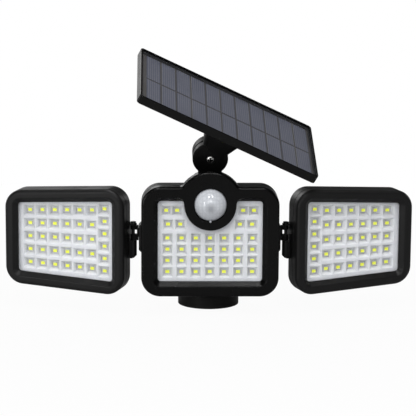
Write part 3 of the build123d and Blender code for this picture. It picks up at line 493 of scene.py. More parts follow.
@dataclass(frozen=True)
class Metal(Finish):
    """Plated steel with a fine grain."""

    colour: Colour = (0.86, 0.85, 0.83)
    tarnish: Colour = (0.66, 0.64, 0.61)
    roughness: Span = (0.3, 0.46)
    relief: float = 0.15
    depth: float = 0.015 * MM

    def shade(self, graph: Graph, shader: Dict) -> None:
        """Cloud the plating and dull its rubbed places."""
        place = graph.place()
        mould = Effects.placed(graph, Effects.mould_grain(), {
            "Vector": place, "Grain": 3800.0, "Mottle Scale": 260.0,
        })
        wear = Effects.placed(graph, Effects.handling(), {"Vector": place, "Rub Scale": 900.0})
        graph.put(shader["Base Color"], graph.mix(mould["Mottle"], self.colour, self.tarnish))
        graph.put(shader["Roughness"], graph.remap(wear["Rub"], WHOLE, self.roughness))
        graph.put(shader["Normal"], graph.bump(mould["Height"], self.relief, self.depth))
        shader["Metallic"].default_value = 1.0


@dataclass(frozen=True)
class Laminate(Finish):
    """Circuit board: solder mask over a web of traces, with glass weave in the height."""

    mask: Colour = (0.02, 0.09, 0.04)
    trace: Colour = (0.05, 0.16, 0.07)
    mesh: float = 260.0
    jitter: float = 0.55
    border: Span = (0.38, 0.44)
    trace_height: float = 0.7
    weave_height: float = 0.3
    roughness: Span = (0.32, 0.48)
    relief: float = 0.4
    depth: float = 0.05 * MM
    specular: float = 0.3

    def shade(self, graph: Graph, shader: Dict) -> None:
        """Draw the traces as the borders of square cells."""
        place = graph.place()
        cells = graph.add("ShaderNodeTexVoronoi", {
            "Vector": place, "Scale": self.mesh, "Randomness": self.jitter,
        }, distance="CHEBYCHEV", feature="F1")
        lines = graph.remap(cells.outputs["Distance"], self.border, WHOLE)
        weave = Effects.placed(graph, Effects.mould_grain(), {"Vector": place, "Grain": 1400.0})
        graph.put(shader["Base Color"], graph.mix(lines, self.mask, self.trace))
        graph.put(shader["Roughness"], graph.remap(weave["Mottle"], WHOLE, self.roughness))
        raised = graph.math(
            "ADD", graph.math("MULTIPLY", lines, self.trace_height),
            graph.math("MULTIPLY", weave["Height"], self.weave_height),
        )
        graph.put(shader["Normal"], graph.bump(raised, self.relief, self.depth))
        shader["Specular IOR Level"].default_value = self.specular


@dataclass(frozen=True)
class CellSilicon(Finish):
    """Slate solar cell with fine finger lines along the panel's short side."""

    colour: Colour = (0.037, 0.041, 0.065)
    crystal: Colour = (0.045, 0.050, 0.075)
    finger: Colour = (0.20, 0.20, 0.205)
    pitch: float = 1.75 * MM
    crest: Span = (0.80, 0.97)
    finger_share: float = 0.6
    roughness: Span = (0.34, 0.5)
    relief: float = 0.3
    depth: float = 0.02 * MM
    specular: float = 0.3
    centre: Tuple[float, float, float] = (0.0, 0.0, 0.0)
    turn: Tuple[float, float, float] = (0.0, 0.0, 0.0)

    def shade(self, graph: Graph, shader: Dict) -> None:
        """Turn the coordinates into the panel's and draw fingers on mottled silicon."""
        local = graph.add("ShaderNodeMapping", {
            "Vector": graph.place(), "Location": self.centre, "Rotation": self.turn,
        }, vector_type="TEXTURE").outputs["Vector"]
        wave = graph.add("ShaderNodeTexWave", {
            "Vector": local, "Scale": math.pi / 10 / self.pitch, "Distortion": 0.0,
        }, wave_type="BANDS", bands_direction="X", wave_profile="SIN")
        fingers = graph.remap(wave.outputs["Fac"], self.crest, WHOLE)
        grain = Effects.placed(graph, Effects.mould_grain(), {
            "Vector": local, "Grain": 1500.0, "Mottle Scale": 120.0,
        })
        silicon = graph.mix(grain["Mottle"], self.colour, self.crystal)
        printed = graph.math("MULTIPLY", fingers, self.finger_share)
        graph.put(shader["Base Color"], graph.mix(printed, silicon, self.finger))
        graph.put(shader["Roughness"], graph.remap(fingers, WHOLE, self.roughness))
        graph.put(shader["Normal"], graph.bump(fingers, self.relief, self.depth))
        shader["Specular IOR Level"].default_value = self.specular


@dataclass(frozen=True)
class ClearSheet(Finish):
    """Clear plastic that shows only its gloss, its haze and a few dust specks."""

    colour: Colour = (0.80, 0.81, 0.83)
    haze: Span = (0.03, 0.055)
    roughness: Span = (0.08, 0.2)
    dusting: float = 0.1

    def shade(self, graph: Graph, shader: Dict) -> None:
        """Let the haze and the dust give the sheet its little substance."""
        place = graph.place()
        mould = Effects.placed(graph, Effects.mould_grain(), {"Vector": place, "Mottle Scale": 70.0})
        wear = Effects.placed(graph, Effects.handling(), {"Vector": place, "Dust Scale": 800.0})
        haze = graph.remap(mould["Mottle"], WHOLE, self.haze)
        dust = graph.math("MULTIPLY", wear["Dust"], self.dusting)
        graph.put(shader["Alpha"], graph.math("ADD", haze, dust))
        graph.put(shader["Roughness"], graph.remap(wear["Rub"], WHOLE, self.roughness))
        shader["Base Color"].default_value = (*self.colour, 1.0)


BEZEL_BLACK = Moulding(
    "Black bezel plastic", "black_plastic", grey(0.001), grey(0.002), grey(0.01),
    roughness=(0.2, 0.3), specular=0.18,
)
SHELL_BLACK = Moulding(
    "Black shell plastic", "black_plastic", grey(0.006), (0.012, 0.012, 0.0118),
    roughness=(0.34, 0.46), specular=0.24,
)
PANEL_BLACK = Moulding(
    "Glossy black tray plastic", "black_plastic", grey(0.0022), grey(0.004), grey(0.02),
    roughness=(0.14, 0.22), depth=0.01 * MM,
)
SIDE_BLACK = Moulding(
    "Satin black side bezel", "black_plastic", grey(0.007), grey(0.012), roughness=(0.32, 0.44),
)
FOOT_BLACK = Moulding(
    "Dark foot plastic", "dark_plastic", (0.008, 0.008, 0.0075), (0.015, 0.015, 0.0145),
    roughness=(0.42, 0.52), specular=0.18,
)
KNUCKLE_BLACK = Moulding(
    "Black knuckle plastic", "black_plastic", grey(0.0015), grey(0.004),
    roughness=(0.36, 0.46), specular=0.14,
)
RUBBER = Moulding("Silicone seal", "seal", grey(0.20), grey(0.28), roughness=(0.6, 0.75))
PACKAGE = Moulding(
    "LED package resin", "led", (0.50, 0.50, 0.47), (0.58, 0.58, 0.54), (0.6, 0.6, 0.57),
    roughness=(0.4, 0.5), specular=0.3,
)
SLEEVE = Moulding(
    "Battery shrink sleeve", "battery_sleeve", (0.02, 0.09, 0.26), (0.03, 0.13, 0.34), (0.2, 0.24, 0.3),
    roughness=(0.22, 0.3), specular=0.5,
)
BACKING = Moulding(
    "Panel backing board", "backing_sheet", (0.034, 0.031, 0.029), (0.044, 0.041, 0.038),
    (0.08, 0.076, 0.07), roughness=(0.45, 0.55), specular=0.15,
)
TRAY = TrayPaint("White reflector paint", "white_reflector")
PHOSPHOR = Phosphor("LED phosphor", "led")
LENS = Lens("Milky sensor lens", "sensor_lens", painted_shade_centre=(0.0, -0.05, 0.0868))
STEEL = Metal("Plated steel", "steel")
# Dark finish of the swivel pins, also used as painted shade inside the screws' cross recesses.
BLACK_STEEL_AND_RECESS_SHADE = Metal("Blackened steel and painted recess shade", "steel", grey(0.05), grey(0.03), (0.35, 0.5))
CAN_STEEL = Metal("Sensor can metal", "steel", (0.60, 0.58, 0.52), (0.46, 0.43, 0.37), (0.25, 0.4))
LED_LAMINATE = Laminate("LED board", "led_board", (0.60, 0.605, 0.62), (0.66, 0.665, 0.68))
CONTROL_LAMINATE = Laminate("Control board", "circuit_board")
COVER = ClearSheet("Clear window cover", "clear_cover")
PANEL_COVER = ClearSheet(
    "Clear panel sheet", "panel_sheet", (0.42, 0.43, 0.46), haze=(0.02, 0.04), roughness=(0.16, 0.26),
)


# Mesh helpers


DOUBLES = 0.002 * MM
FLAT_ANGLE = math.radians(0.4)
EASED_ANGLE = math.radians(28.0)


def middle_of(verts: Sequence[bmesh.types.BMVert]) -> Vector:
    """Mean place of some vertices."""
    return sum((vert.co for vert in verts), Vector()) / len(verts)


def islands(mesh: bmesh.types.BMesh) -> List[List[bmesh.types.BMVert]]:
    """Sort a mesh into its connected solids.

    Args:
        mesh: Mesh with its doubles merged.

    Returns:
        One list of vertices per solid.
    """
    seen = set()
    found = []
    for start in mesh.verts:
        if start in seen:
            continue
        seen.add(start)
        group = [start]
        for vert in group:
            for edge in vert.link_edges:
                other = edge.other_vert(vert)
                if other not in seen:
                    seen.add(other)
                    group.append(other)
        found.append(group)
    return found


def merged(node: str) -> bmesh.types.BMesh:
    """Copy a CAD node's mesh with its loose triangles joined.

    Args:
        node: Name of the node.

    Returns:
        The copy.
    """
    mesh = bmesh.new()
    mesh.from_mesh(frame["nodes"][node].data)
    bmesh.ops.remove_doubles(mesh, verts=mesh.verts, dist=DOUBLES)
    return mesh


def flattened(node: str) -> bmesh.types.BMesh:
    """Copy a CAD node's mesh with its flat faces made whole.

    Args:
        node: Name of the node.

    Returns:
        The copy.
    """
    mesh = merged(node)
    bmesh.ops.dissolve_limit(mesh, angle_limit=FLAT_ANGLE, verts=mesh.verts, edges=mesh.edges)
    return mesh


def drawn_out(
    mesh: bmesh.types.BMesh, edges: List[bmesh.types.BMEdge], circles: Sequence[Tuple[float, float]]
) -> List[bmesh.types.BMEdge]:
    """Draw a ring of edges out through circles about the Z axis.

    Args:
        mesh: Mesh that is drawn out.
        edges: Edges of the ring.
        circles: Radius of each circle and its drop below the origin.

    Returns:
        Edges of the last circle.
    """
    for radius, drop in circles:
        made = bmesh.ops.extrude_edge_only(mesh, edges=edges)["geom"]
        edges = [item for item in made if isinstance(item, bmesh.types.BMEdge)]
        for vert in (item for item in made if isinstance(item, bmesh.types.BMVert)):
            reach = Vector((vert.co.x, vert.co.y, 0.0)).normalized() * radius
            vert.co = (reach.x, reach.y, -drop)
    return edges


def finished(
    mesh: bmesh.types.BMesh, name: str, body: str, finishes: Sequence[Finish],
    nodes: Sequence[str] = (), smooth: float = 32.0, weighted: bool = False,
) -> bpy.types.Object:
    """Turn a bmesh into a piece of the lamp.

    Args:
        mesh: Finished mesh in the frame of the CAD, freed here.
        name: Name of the piece.
        body: Body that it rides on.
        finishes: Finishes by material index.
        nodes: CAD nodes that it stands for.
        smooth: Largest angle in degrees that is shaded smooth.
        weighted: Whether large flat faces keep their own normal.

    Returns:
        The piece.
    """
    data = bpy.data.meshes.new(name)
    mesh.to_mesh(data)
    mesh.free()
    for finish in finishes:
        data.materials.append(finish.material())
    data.shade_smooth()
    data.set_sharp_from_angle(angle=math.radians(smooth))
    piece = bpy.data.objects.new(name, data)
    bpy.context.scene.collection.objects.link(piece)
    if weighted:
        modifier = piece.modifiers.new("Face normals", "WEIGHTED_NORMAL")
        modifier.keep_sharp = True
    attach(piece, body)
    if nodes:
        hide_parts(*nodes)
    LOG.info("piece %s: %d faces on %s", name, len(data.polygons), body)
    return piece


def softened(
    node: str, body: str, finish: Finish, radius: float = 0.3 * MM, segments: int = 2
) -> bpy.types.Object:
    """Replace a CAD node by a copy with eased edges and smooth curves.

    Args:
        node: Name of the node.
        body: Body that it rides on.
        finish: Finish of the copy.
        radius: Width of the eased edges, 0 for none.
        segments: Steps across an eased edge.

    Returns:
        The piece.
    """
    mesh = flattened(node)
    if radius:
        sharp = [
            edge for edge in mesh.edges if edge.is_manifold and edge.calc_face_angle(0.0) > EASED_ANGLE
        ]
        bmesh.ops.bevel(
            mesh, geom=sharp, offset=radius, offset_type="OFFSET", segments=segments, profile=0.5,
            affect="EDGES", clamp_overlap=False, material=-1,
        )
    return finished(mesh, f"{node}_moulding", body, [finish], [node], smooth=40.0, weighted=True)


def dressed(node: str, finish: Finish) -> None:
    """Give a CAD node that keeps its shape a finish.

    Args:
        node: Name of the node.
        finish: Its finish.
    """
    data = frame["nodes"][node].data
    data.materials.clear()
    data.materials.append(finish.material())
    LOG.info("node %s: %s", node, finish.name)


def thinned(node: str, body: str, finish: Finish, gap: float = 0.3 * MM) -> bpy.types.Object:
    """Replace a clear sheet by a copy whose back stands off what lies behind it.

    Args:
        node: Name of the sheet's node.
        body: Body that it rides on.
        finish: Finish of the copy.
        gap: Width of the air gap behind it.

    Returns:
        The piece.
    """
    mesh = flattened(node)
    widest = max(mesh.faces, key=lambda face: face.calc_area() * (2.0 if facing_out(face) else 1.0))
    front = widest.normal.copy()
    middle = middle_of(mesh.verts)
    back = [vert for vert in mesh.verts if (vert.co - middle).dot(front) < 0]
    bmesh.ops.translate(mesh, verts=back, vec=front * gap)
    return finished(mesh, f"{node}_sheet", body, [finish], [node], smooth=40.0)


def facing_out(face: bmesh.types.BMFace) -> bool:
    """Whether a face looks to the lamp's front or up."""
    return face.normal.z - face.normal.y > 0


def box_frame(verts: Sequence[bmesh.types.BMVert]) -> Tuple[Matrix, Vector]:
    """Find the place and size of a solid box from its faces.

    Args:
        verts: Vertices of the box.

    Returns:
        Matrix with the box's long side as X, short side as Y and front as Z, and the box's size.
    """
    faces = {face for vert in verts for face in vert.link_faces}
    front = max(faces, key=lambda face: face.calc_area()).normal.copy()
    if front.y > 0:
        front.negate()
    middle = middle_of(verts)
    across = Vector((0.0, 0.0, 1.0)).cross(front).normalized()
    if across.x < 0:
        across.negate()
    up = front.cross(across)
    axes = (across, up, front)
    size = Vector([2 * max(abs((vert.co - middle).dot(axis)) for vert in verts) for axis in axes])
    matrix = Matrix(axes).transposed().to_4x4()
    matrix.translation = middle
    return matrix, size


# Sub-assemblies


@dataclass
class CrossScrew:
    """Screw with a domed pan head and a cross recess, along one axis.

    Sizes across the head are shares of its radius, and depths are shares of its height. The tip's are
    shares of the shank's radius.
    """

    axis: Vector
    arm: float = 0.66
    slot: float = 0.2
    depth: float = 0.75
    floor: float = 0.72
    dome: float = 0.2
    crown: float = 0.72
    shoulder: Tuple[float, float] = (0.93, 0.4)
    side: float = 0.65
    tip: Tuple[float, float] = (0.6, 0.4)
    segments: int = 32
    rim_share: float = 0.9
    end_reach: float = 0.3 * MM

    def measure(self, verts: Sequence[bmesh.types.BMVert]) -> Tuple[Matrix, float, float, float, float]:
        """Read the sizes of a screw from its CAD solid.

        Args:
            verts: Vertices of the solid.

        Returns:
            Matrix with the origin on top of the head and Z out of it, head radius and height, shank
            radius and whole length.
        """
        axis = self.axis.normalized()
        middle = middle_of(verts)
        along = [(vert.co - middle).dot(axis) for vert in verts]
        radial = [((vert.co - middle) - axis * step).length for vert, step in zip(verts, along)]
        low, high = min(along), max(along)
        head = max(radial)
        wide = [step for step, reach in zip(along, radial) if reach > self.rim_share * head]
        top, end = (high, low) if abs(max(wide) - high) < abs(min(wide) - low) else (low, high)
        seat = min(wide, key=lambda step: abs(step - end))
        out = axis if top > end else -axis
        shank = max(reach for step, reach in zip(along, radial) if abs(step - end) < self.end_reach)
        matrix = out.to_track_quat("Z", "Y").to_matrix().to_4x4()
        matrix.translation = middle + axis * top
        return matrix, head, abs(top - seat), shank, abs(top - end)

    def build(self, mesh: bmesh.types.BMesh, verts: Sequence[bmesh.types.BMVert]) -> None:
        """Add a screw to a mesh in the place of a CAD solid.

        Args:
            mesh: Mesh that takes the screw.
            verts: Vertices of the solid.
        """
        matrix, head, height, shank, length = self.measure(verts)
        own = bmesh.new()
        cross = self._cross(own, head)
        rim = [edge for edge in own.edges if edge.is_boundary]
        sunk = Matrix.Translation((0.0, 0.0, -self.dome * height))
        ring = bmesh.ops.create_circle(
            own, segments=self.segments, radius=self.crown * head, matrix=sunk
        )["verts"]
        circle = list({edge for vert in ring for edge in vert.link_edges})
        bmesh.ops.bridge_loops(own, edges=rim + circle)
        circle = drawn_out(own, circle, (
            (self.shoulder[0] * head, self.shoulder[1] * height), (head, self.side * height),
            (head, height), (shank, height),
            (shank, length - self.tip[1] * shank), (self.tip[0] * shank, length),
        ))
        bmesh.ops.contextual_create(own, geom=circle)
        made = bmesh.ops.extrude_face_region(own, geom=cross)["geom"]
        floor = [item for item in made if isinstance(item, bmesh.types.BMVert)]
        bmesh.ops.delete(own, geom=cross, context="FACES_ONLY")
        # Painted shade: the faces of the cross recess take the dark second finish, standing in for the
        # shade inside the recess.
        for face in {face for vert in floor for face in vert.link_faces}:
            face.material_index = 1
        bmesh.ops.translate(own, verts=floor, vec=(0.0, 0.0, -self.depth * height))
        bmesh.ops.scale(own, verts=floor, vec=(self.floor, self.floor, 1.0))
        bmesh.ops.recalc_face_normals(own, faces=own.faces)
        bmesh.ops.transform(own, matrix=matrix, verts=own.verts)
        data = bpy.data.meshes.new("screw")
        own.to_mesh(data)
        own.free()
        mesh.from_mesh(data)
        bpy.data.meshes.remove(data)

    def _cross(self, own: bmesh.types.BMesh, head: float) -> List[bmesh.types.BMFace]:
        """Lay the cross of the recess flat in an empty mesh.

        Args:
            own: Mesh of the screw.
            head: Radius of the head.

        Returns:
            Faces of the cross.
        """
        arm = self.arm * head
        narrow = self.slot * head
        bmesh.ops.create_grid(own, x_segments=3, y_segments=3, size=arm)
        for vert in own.verts:
            for part in (0, 1):
                if abs(vert.co[part]) < arm / 2:
                    vert.co[part] = math.copysign(narrow, vert.co[part])
        corners = [
            face for face in own.faces
            if min(abs(face.calc_center_median().x), abs(face.calc_center_median().y)) > narrow
        ]
        bmesh.ops.delete(own, geom=corners, context="FACES")
        return list(own.faces)

    def replace(self, node: str, body: str) -> bpy.types.Object:
        """Replace every screw of a CAD node.

        Args:
            node: Name of the node.
            body: Body that it rides on.

        Returns:
            The piece with all the screws.
        """
        source = merged(node)
        mesh = bmesh.new()
        for verts in islands(source):
            self.build(mesh, verts)
        source.free()
        return finished(mesh, f"{node}_cross_head", body, [STEEL, BLACK_STEEL_AND_RECESS_SHADE], [node], smooth=35.0)


@dataclass
class LedArray:
    """LED packages of one head: a resin frame round a sunk, crowned phosphor pad."""

    head: Head
    corner: float = 0.3 * MM
    corner_segments: int = 2
    rim: float = 0.24 * MM
    sink: float = 0.1 * MM
    shoulder: float = 0.24 * MM
    crown: float = 0.16 * MM

    def build(self) -> bpy.types.Object:
        """Model a package in the place of every CAD LED.

        Returns:
            The piece with all the head's LEDs.
        """
        node = self.head.node("leds")
        source = merged(node)
        mesh = bmesh.new()
        for verts in islands(source):
            matrix, size = box_frame(verts)
            self._package(mesh, matrix, size)
        source.free()
        return finished(
            mesh, f"{node}_packages", self.head.body, [PACKAGE, PHOSPHOR], [node], smooth=50.0
        )

    def _package(self, mesh: bmesh.types.BMesh, matrix: Matrix, size: Vector) -> None:
        """Add one package to the mesh.

        Args:
            mesh: Mesh that takes it.
            matrix: Its place, with Z to the front.
            size: Its width, height and thickness.
        """
        place = matrix @ Matrix.Diagonal((*size, 1.0))
        verts = bmesh.ops.create_cube(mesh, size=1.0, matrix=place)["verts"]
        front = matrix.to_3x3().col[2]
        upright = [
            edge for edge in {edge for vert in verts for edge in vert.link_edges}
            if abs((edge.verts[0].co - edge.verts[1].co).normalized().dot(front)) > 0.9
        ]
        eased = bmesh.ops.bevel(
            mesh, geom=upright, offset=self.corner, offset_type="OFFSET", segments=self.corner_segments,
            profile=0.5, affect="EDGES", clamp_overlap=True, material=-1,
        )["faces"]
        around = {face for one in eased for vert in one.verts for face in vert.link_faces}
        top = max(around, key=lambda face: face.calc_center_median().dot(front))
        bmesh.ops.inset_region(mesh, faces=[top], thickness=self.rim, depth=-self.sink)
        top.material_index = 1
        pad = bmesh.ops.inset_region(mesh, faces=[top], thickness=self.shoulder, depth=self.crown)
        for face in pad["faces"]:
            face.material_index = 1


@dataclass
class LampHead:
    """One LED head: shells, light stack and fasteners."""

    head: Head
    bezel: Finish
    edge: float = 0.3 * MM
    rim: float = 0.6 * MM
    rim_segments: int = 3

    def build(self) -> None:
        """Model the shells, LEDs and screws and dress the inner pieces."""
        body = self.head.body
        softened(self.head.node("bezel"), body, self.bezel, self.rim, self.rim_segments)
        softened(self.head.node("housing"), body, SHELL_BLACK, self.edge)
        softened(self.head.node("reflector"), body, TRAY, 0.0)
        LedArray(self.head).build()
        CrossScrew(self._front()).replace(self.head.node("case_screws"), body)
        thinned(self.head.node("cover"), body, COVER)
        dressed(self.head.node("led_board"), LED_LAMINATE)
        dressed(self.head.node("seal"), RUBBER)

    def _front(self) -> Vector:
        """Direction that the head looks in, read from its clear cover.

        Returns:
            Unit vector to the front.
        """
        cover = merged(self.head.node("cover"))
        matrix, _ = box_frame(cover.verts)
        cover.free()
        return matrix.to_3x3().col[2]


@dataclass
class Sensor:
    """Motion sensor: milky dome lens, light-sensing nub and the inner element."""

    radius: float = 12.6 * MM
    rise: float = 8.5 * MM
    seat: float = 3.0 * MM
    flange: float = 14.8 * MM
    flange_thick: float = 1.4 * MM
    rows: int = 18
    columns: int = 26
    rounding: int = 2
    wall: float = 0.8 * MM
    nub_drop: float = 13.0 * MM
    nub_radius: float = 0.95 * MM
    nub_stretch: float = 1.2

    def build(self) -> None:
        """Model the lens and the nub and dress the inner pieces."""
        low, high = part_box("sensor_dome")
        middle = (low + high) / 2
        front = high.y - self.flange_thick - self.seat
        upright = Matrix.Rotation(math.radians(90), 4, "X")
        turn = Matrix.Translation((middle.x, front, middle.z)) @ upright
        self._lens(turn)
        self._nub(turn)
        dressed("sensor_can", CAN_STEEL)
        dressed("sensor_board", CONTROL_LAMINATE)

    def _lens(self, turn: Matrix) -> None:
        """Model the lens as a cut sphere with a neck and a flange.

        Args:
            turn: Place of the dome's base circle, with Z to the front.
        """
        mesh = bmesh.new()
        ball = (self.radius**2 + self.rise**2) / (2 * self.rise)
        lift = Matrix.Translation((0.0, 0.0, self.rise - ball))
        bmesh.ops.create_uvsphere(
            mesh, u_segments=self.columns, v_segments=self.rows, radius=ball, matrix=lift
        )
        bmesh.ops.bisect_plane(
            mesh, geom=mesh.verts[:] + mesh.edges[:] + mesh.faces[:], plane_co=(0, 0, 0),
            plane_no=(0, 0, 1), clear_inner=True,
        )
        rim = [edge for edge in mesh.edges if edge.is_boundary]
        drawn_out(mesh, rim, (
            (self.radius, self.seat), (self.flange, self.seat),
            (self.flange, self.seat + self.flange_thick),
        ))
        bmesh.ops.transform(mesh, matrix=turn, verts=mesh.verts)
        bmesh.ops.recalc_face_normals(mesh, faces=mesh.faces)
        lens = finished(mesh, "sensor_lens", Head.CENTRE.body, [LENS], ["sensor_dome"], smooth=60.0)
        round_off = lens.modifiers.new("Round", "SUBSURF")
        round_off.levels = self.rounding
        round_off.render_levels = self.rounding
        wall = lens.modifiers.new("Wall", "SOLIDIFY")
        wall.thickness = self.wall
        wall.offset = -1.0

    def _nub(self, turn: Matrix) -> None:
        """Model the pale nub under the dome.

        Args:
            turn: Place of the dome's base circle, with Z to the front.
        """
        mesh = bmesh.new()
        spot = turn @ Matrix.Translation((0.0, -self.nub_drop, 0.0))
        bmesh.ops.create_uvsphere(
            mesh, u_segments=20, v_segments=14, radius=self.nub_radius,
            matrix=spot @ Matrix.Diagonal((1.0, 1.0, self.nub_stretch, 1.0)),
        )
        finished(mesh, "light_sensor_nub", Head.CENTRE.body, [LENS])


@dataclass
class Knuckle:
    """Neck and knuckle that carry the panel, with teeth in the seam between the halves."""

    teeth: int = 56
    radius: float = 14.0 * MM
    tooth: Tuple[float, float, float] = (0.8 * MM, 0.5 * MM, 0.8 * MM)
    sink: float = 0.45 * MM
    back: float = 0.325 * MM

    def build(self) -> None:
        """Model both halves, the teeth and the screw."""
        softened("panel_neck", "neck", KNUCKLE_BLACK)
        softened("panel_pedestal", "panel", KNUCKLE_BLACK)
        joint = next(one for one in frame["joints"] if one["name"] == "panel_tilt")
        axis = Vector(joint["axis"]).normalized()
        CrossScrew(axis).replace("knuckle_screw", "panel")
        self._teeth(Vector(joint["pos_m"]), axis)
        dressed("knuckle_nut", STEEL)
        dressed("neck_retainer_screw", STEEL)

    def _teeth(self, seam: Vector, axis: Vector) -> None:
        """Model a ring of teeth just behind the seam.

        Args:
            seam: Point of the knuckle's axis in the seam.
            axis: Direction of the knuckle's axis, to the rear.
        """
        mesh = bmesh.new()
        matrix = axis.to_track_quat("Y", "Z").to_matrix().to_4x4()
        matrix.translation = seam
        offset = Matrix.Translation((0.0, self.back, self.radius - self.sink - self.tooth[2] / 2))
        place = matrix @ offset @ Matrix.Diagonal((*self.tooth, 1.0))
        bmesh.ops.create_cube(mesh, size=1.0, matrix=place)
        bmesh.ops.spin(
            mesh, geom=mesh.verts[:] + mesh.edges[:] + mesh.faces[:], cent=seam, axis=axis,
            angle=math.tau * (self.teeth - 1) / self.teeth, steps=self.teeth - 1, use_duplicate=True,
        )
        finished(mesh, "knuckle_teeth", "neck", [KNUCKLE_BLACK])


@dataclass
class Panel:
    """Solar panel: tray, cells, backing and clear sheet."""

    edge: float = 0.4 * MM
    edge_segments: int = 3
    cell_gap: float = 0.1 * MM

    def build(self) -> None:
        """Soften the tray and dress the sheets in the panel's own directions."""
        softened("panel_frame", "panel", PANEL_BLACK, self.edge, self.edge_segments)
        sheet = merged("panel_glass")
        front = max(sheet.faces, key=lambda face: face.calc_area()).normal.copy()
        if front.z < 0:
            front.negate()
        middle = middle_of(sheet.verts)
        long = self._long_side(sheet, front)
        sheet.free()
        turn = Matrix((long, front.cross(long), front)).transposed().to_euler("XYZ")
        cells = CellSilicon("Solar cell", "solar_cell", centre=tuple(middle), turn=tuple(turn))
        self._cells(cells, front)
        dressed("panel_backing", BACKING)
        thinned("panel_glass", "panel", PANEL_COVER)
        dressed("pedestal_screws", STEEL)

    def _cells(self, finish: Finish, front: Vector) -> None:
        """Lay the cells with a little more room between them.

        Args:
            finish: Finish of the cells.
            front: Normal of the panel.
        """
        mesh = merged("solar_cells")
        for verts in islands(mesh):
            middle = middle_of(verts)
            for vert in verts:
                step = vert.co - middle
                flat = step - front * step.dot(front)
                vert.co -= flat.normalized() * self.cell_gap
        finished(mesh, "solar_cells_laid", "panel", [finish], ["solar_cells"])

    @staticmethod
    def _long_side(sheet: bmesh.types.BMesh, front: Vector) -> Vector:
        """Direction of the sheet's long sides.

        Args:
            sheet: Mesh of the sheet.
            front: Its normal.

        Returns:
            Unit vector to the right.
        """
        borders = [
            edge for edge in sheet.edges
            if edge.calc_face_angle(0.0) > math.radians(60)
            and abs((edge.verts[0].co - edge.verts[1].co).normalized().dot(front)) < 0.1
        ]
        longest = max(borders, key=lambda edge: edge.calc_length())
        long = (longest.verts[0].co - longest.verts[1].co).normalized()
        return long if long.x > 0 else -long


@dataclass
class Hinges:
    """Yokes, pins and retainers at both sides of the centre head."""

    edge: float = 0.25 * MM

    def build(self) -> None:
        """Soften the yokes and dress the metal."""
        for head in (Head.LEFT, Head.RIGHT):
            softened(head.node("yoke"), f"{head.value}_hinge", KNUCKLE_BLACK, self.edge)
            dressed(head.node("swivel_pin"), BLACK_STEEL_AND_RECESS_SHADE)
            dressed(head.node("yoke_retainer_screw"), STEEL)


@dataclass
class Foot:
    """Round foot with its turntable and fork."""

    edge: float = 0.3 * MM

    def build(self) -> None:
        """Soften the plastic and model the fork's screw."""
        softened("mounting_foot", "foot", FOOT_BLACK, self.edge)
        softened("base_stem", "turntable", FOOT_BLACK, self.edge)
        CrossScrew(Vector((1.0, 0.0, 0.0))).replace("base_tilt_screw", "turntable")
        dressed("base_tilt_nut", STEEL)
        dressed("base_retainer_screw", STEEL)


@dataclass
class Electrics:
    """Button, switch, battery and control board behind the centre head's lights."""

    def build(self) -> None:
        """Soften the button and dress the rest."""
        softened("switch_button", "button", KNUCKLE_BLACK)
        dressed("switch_body", KNUCKLE_BLACK)
        dressed("battery_cell", SLEEVE)
        dressed("control_board", CONTROL_LAMINATE)
        dressed("control_screws", STEEL)


# Studio


@dataclass
class Softbox:
    """Oblong area light aimed at the floodlight."""

    name: str
    place: Tuple[float, float, float]
    size: Tuple[float, float]
    power: float

    def build(self, target: Vector) -> None:
        """Hang the softbox.

        Args:
            target: Point that it is aimed at.
        """
        data = bpy.data.lights.new(self.name, "AREA")
        data.shape = "RECTANGLE"
        data.size, data.size_y = self.size
        data.energy = self.power
        lamp = bpy.data.objects.new(self.name, data)
        lamp.location = self.place
        lamp.rotation_euler = (target - lamp.location).to_track_quat("-Z", "Y").to_euler()
        bpy.context.scene.collection.objects.link(lamp)


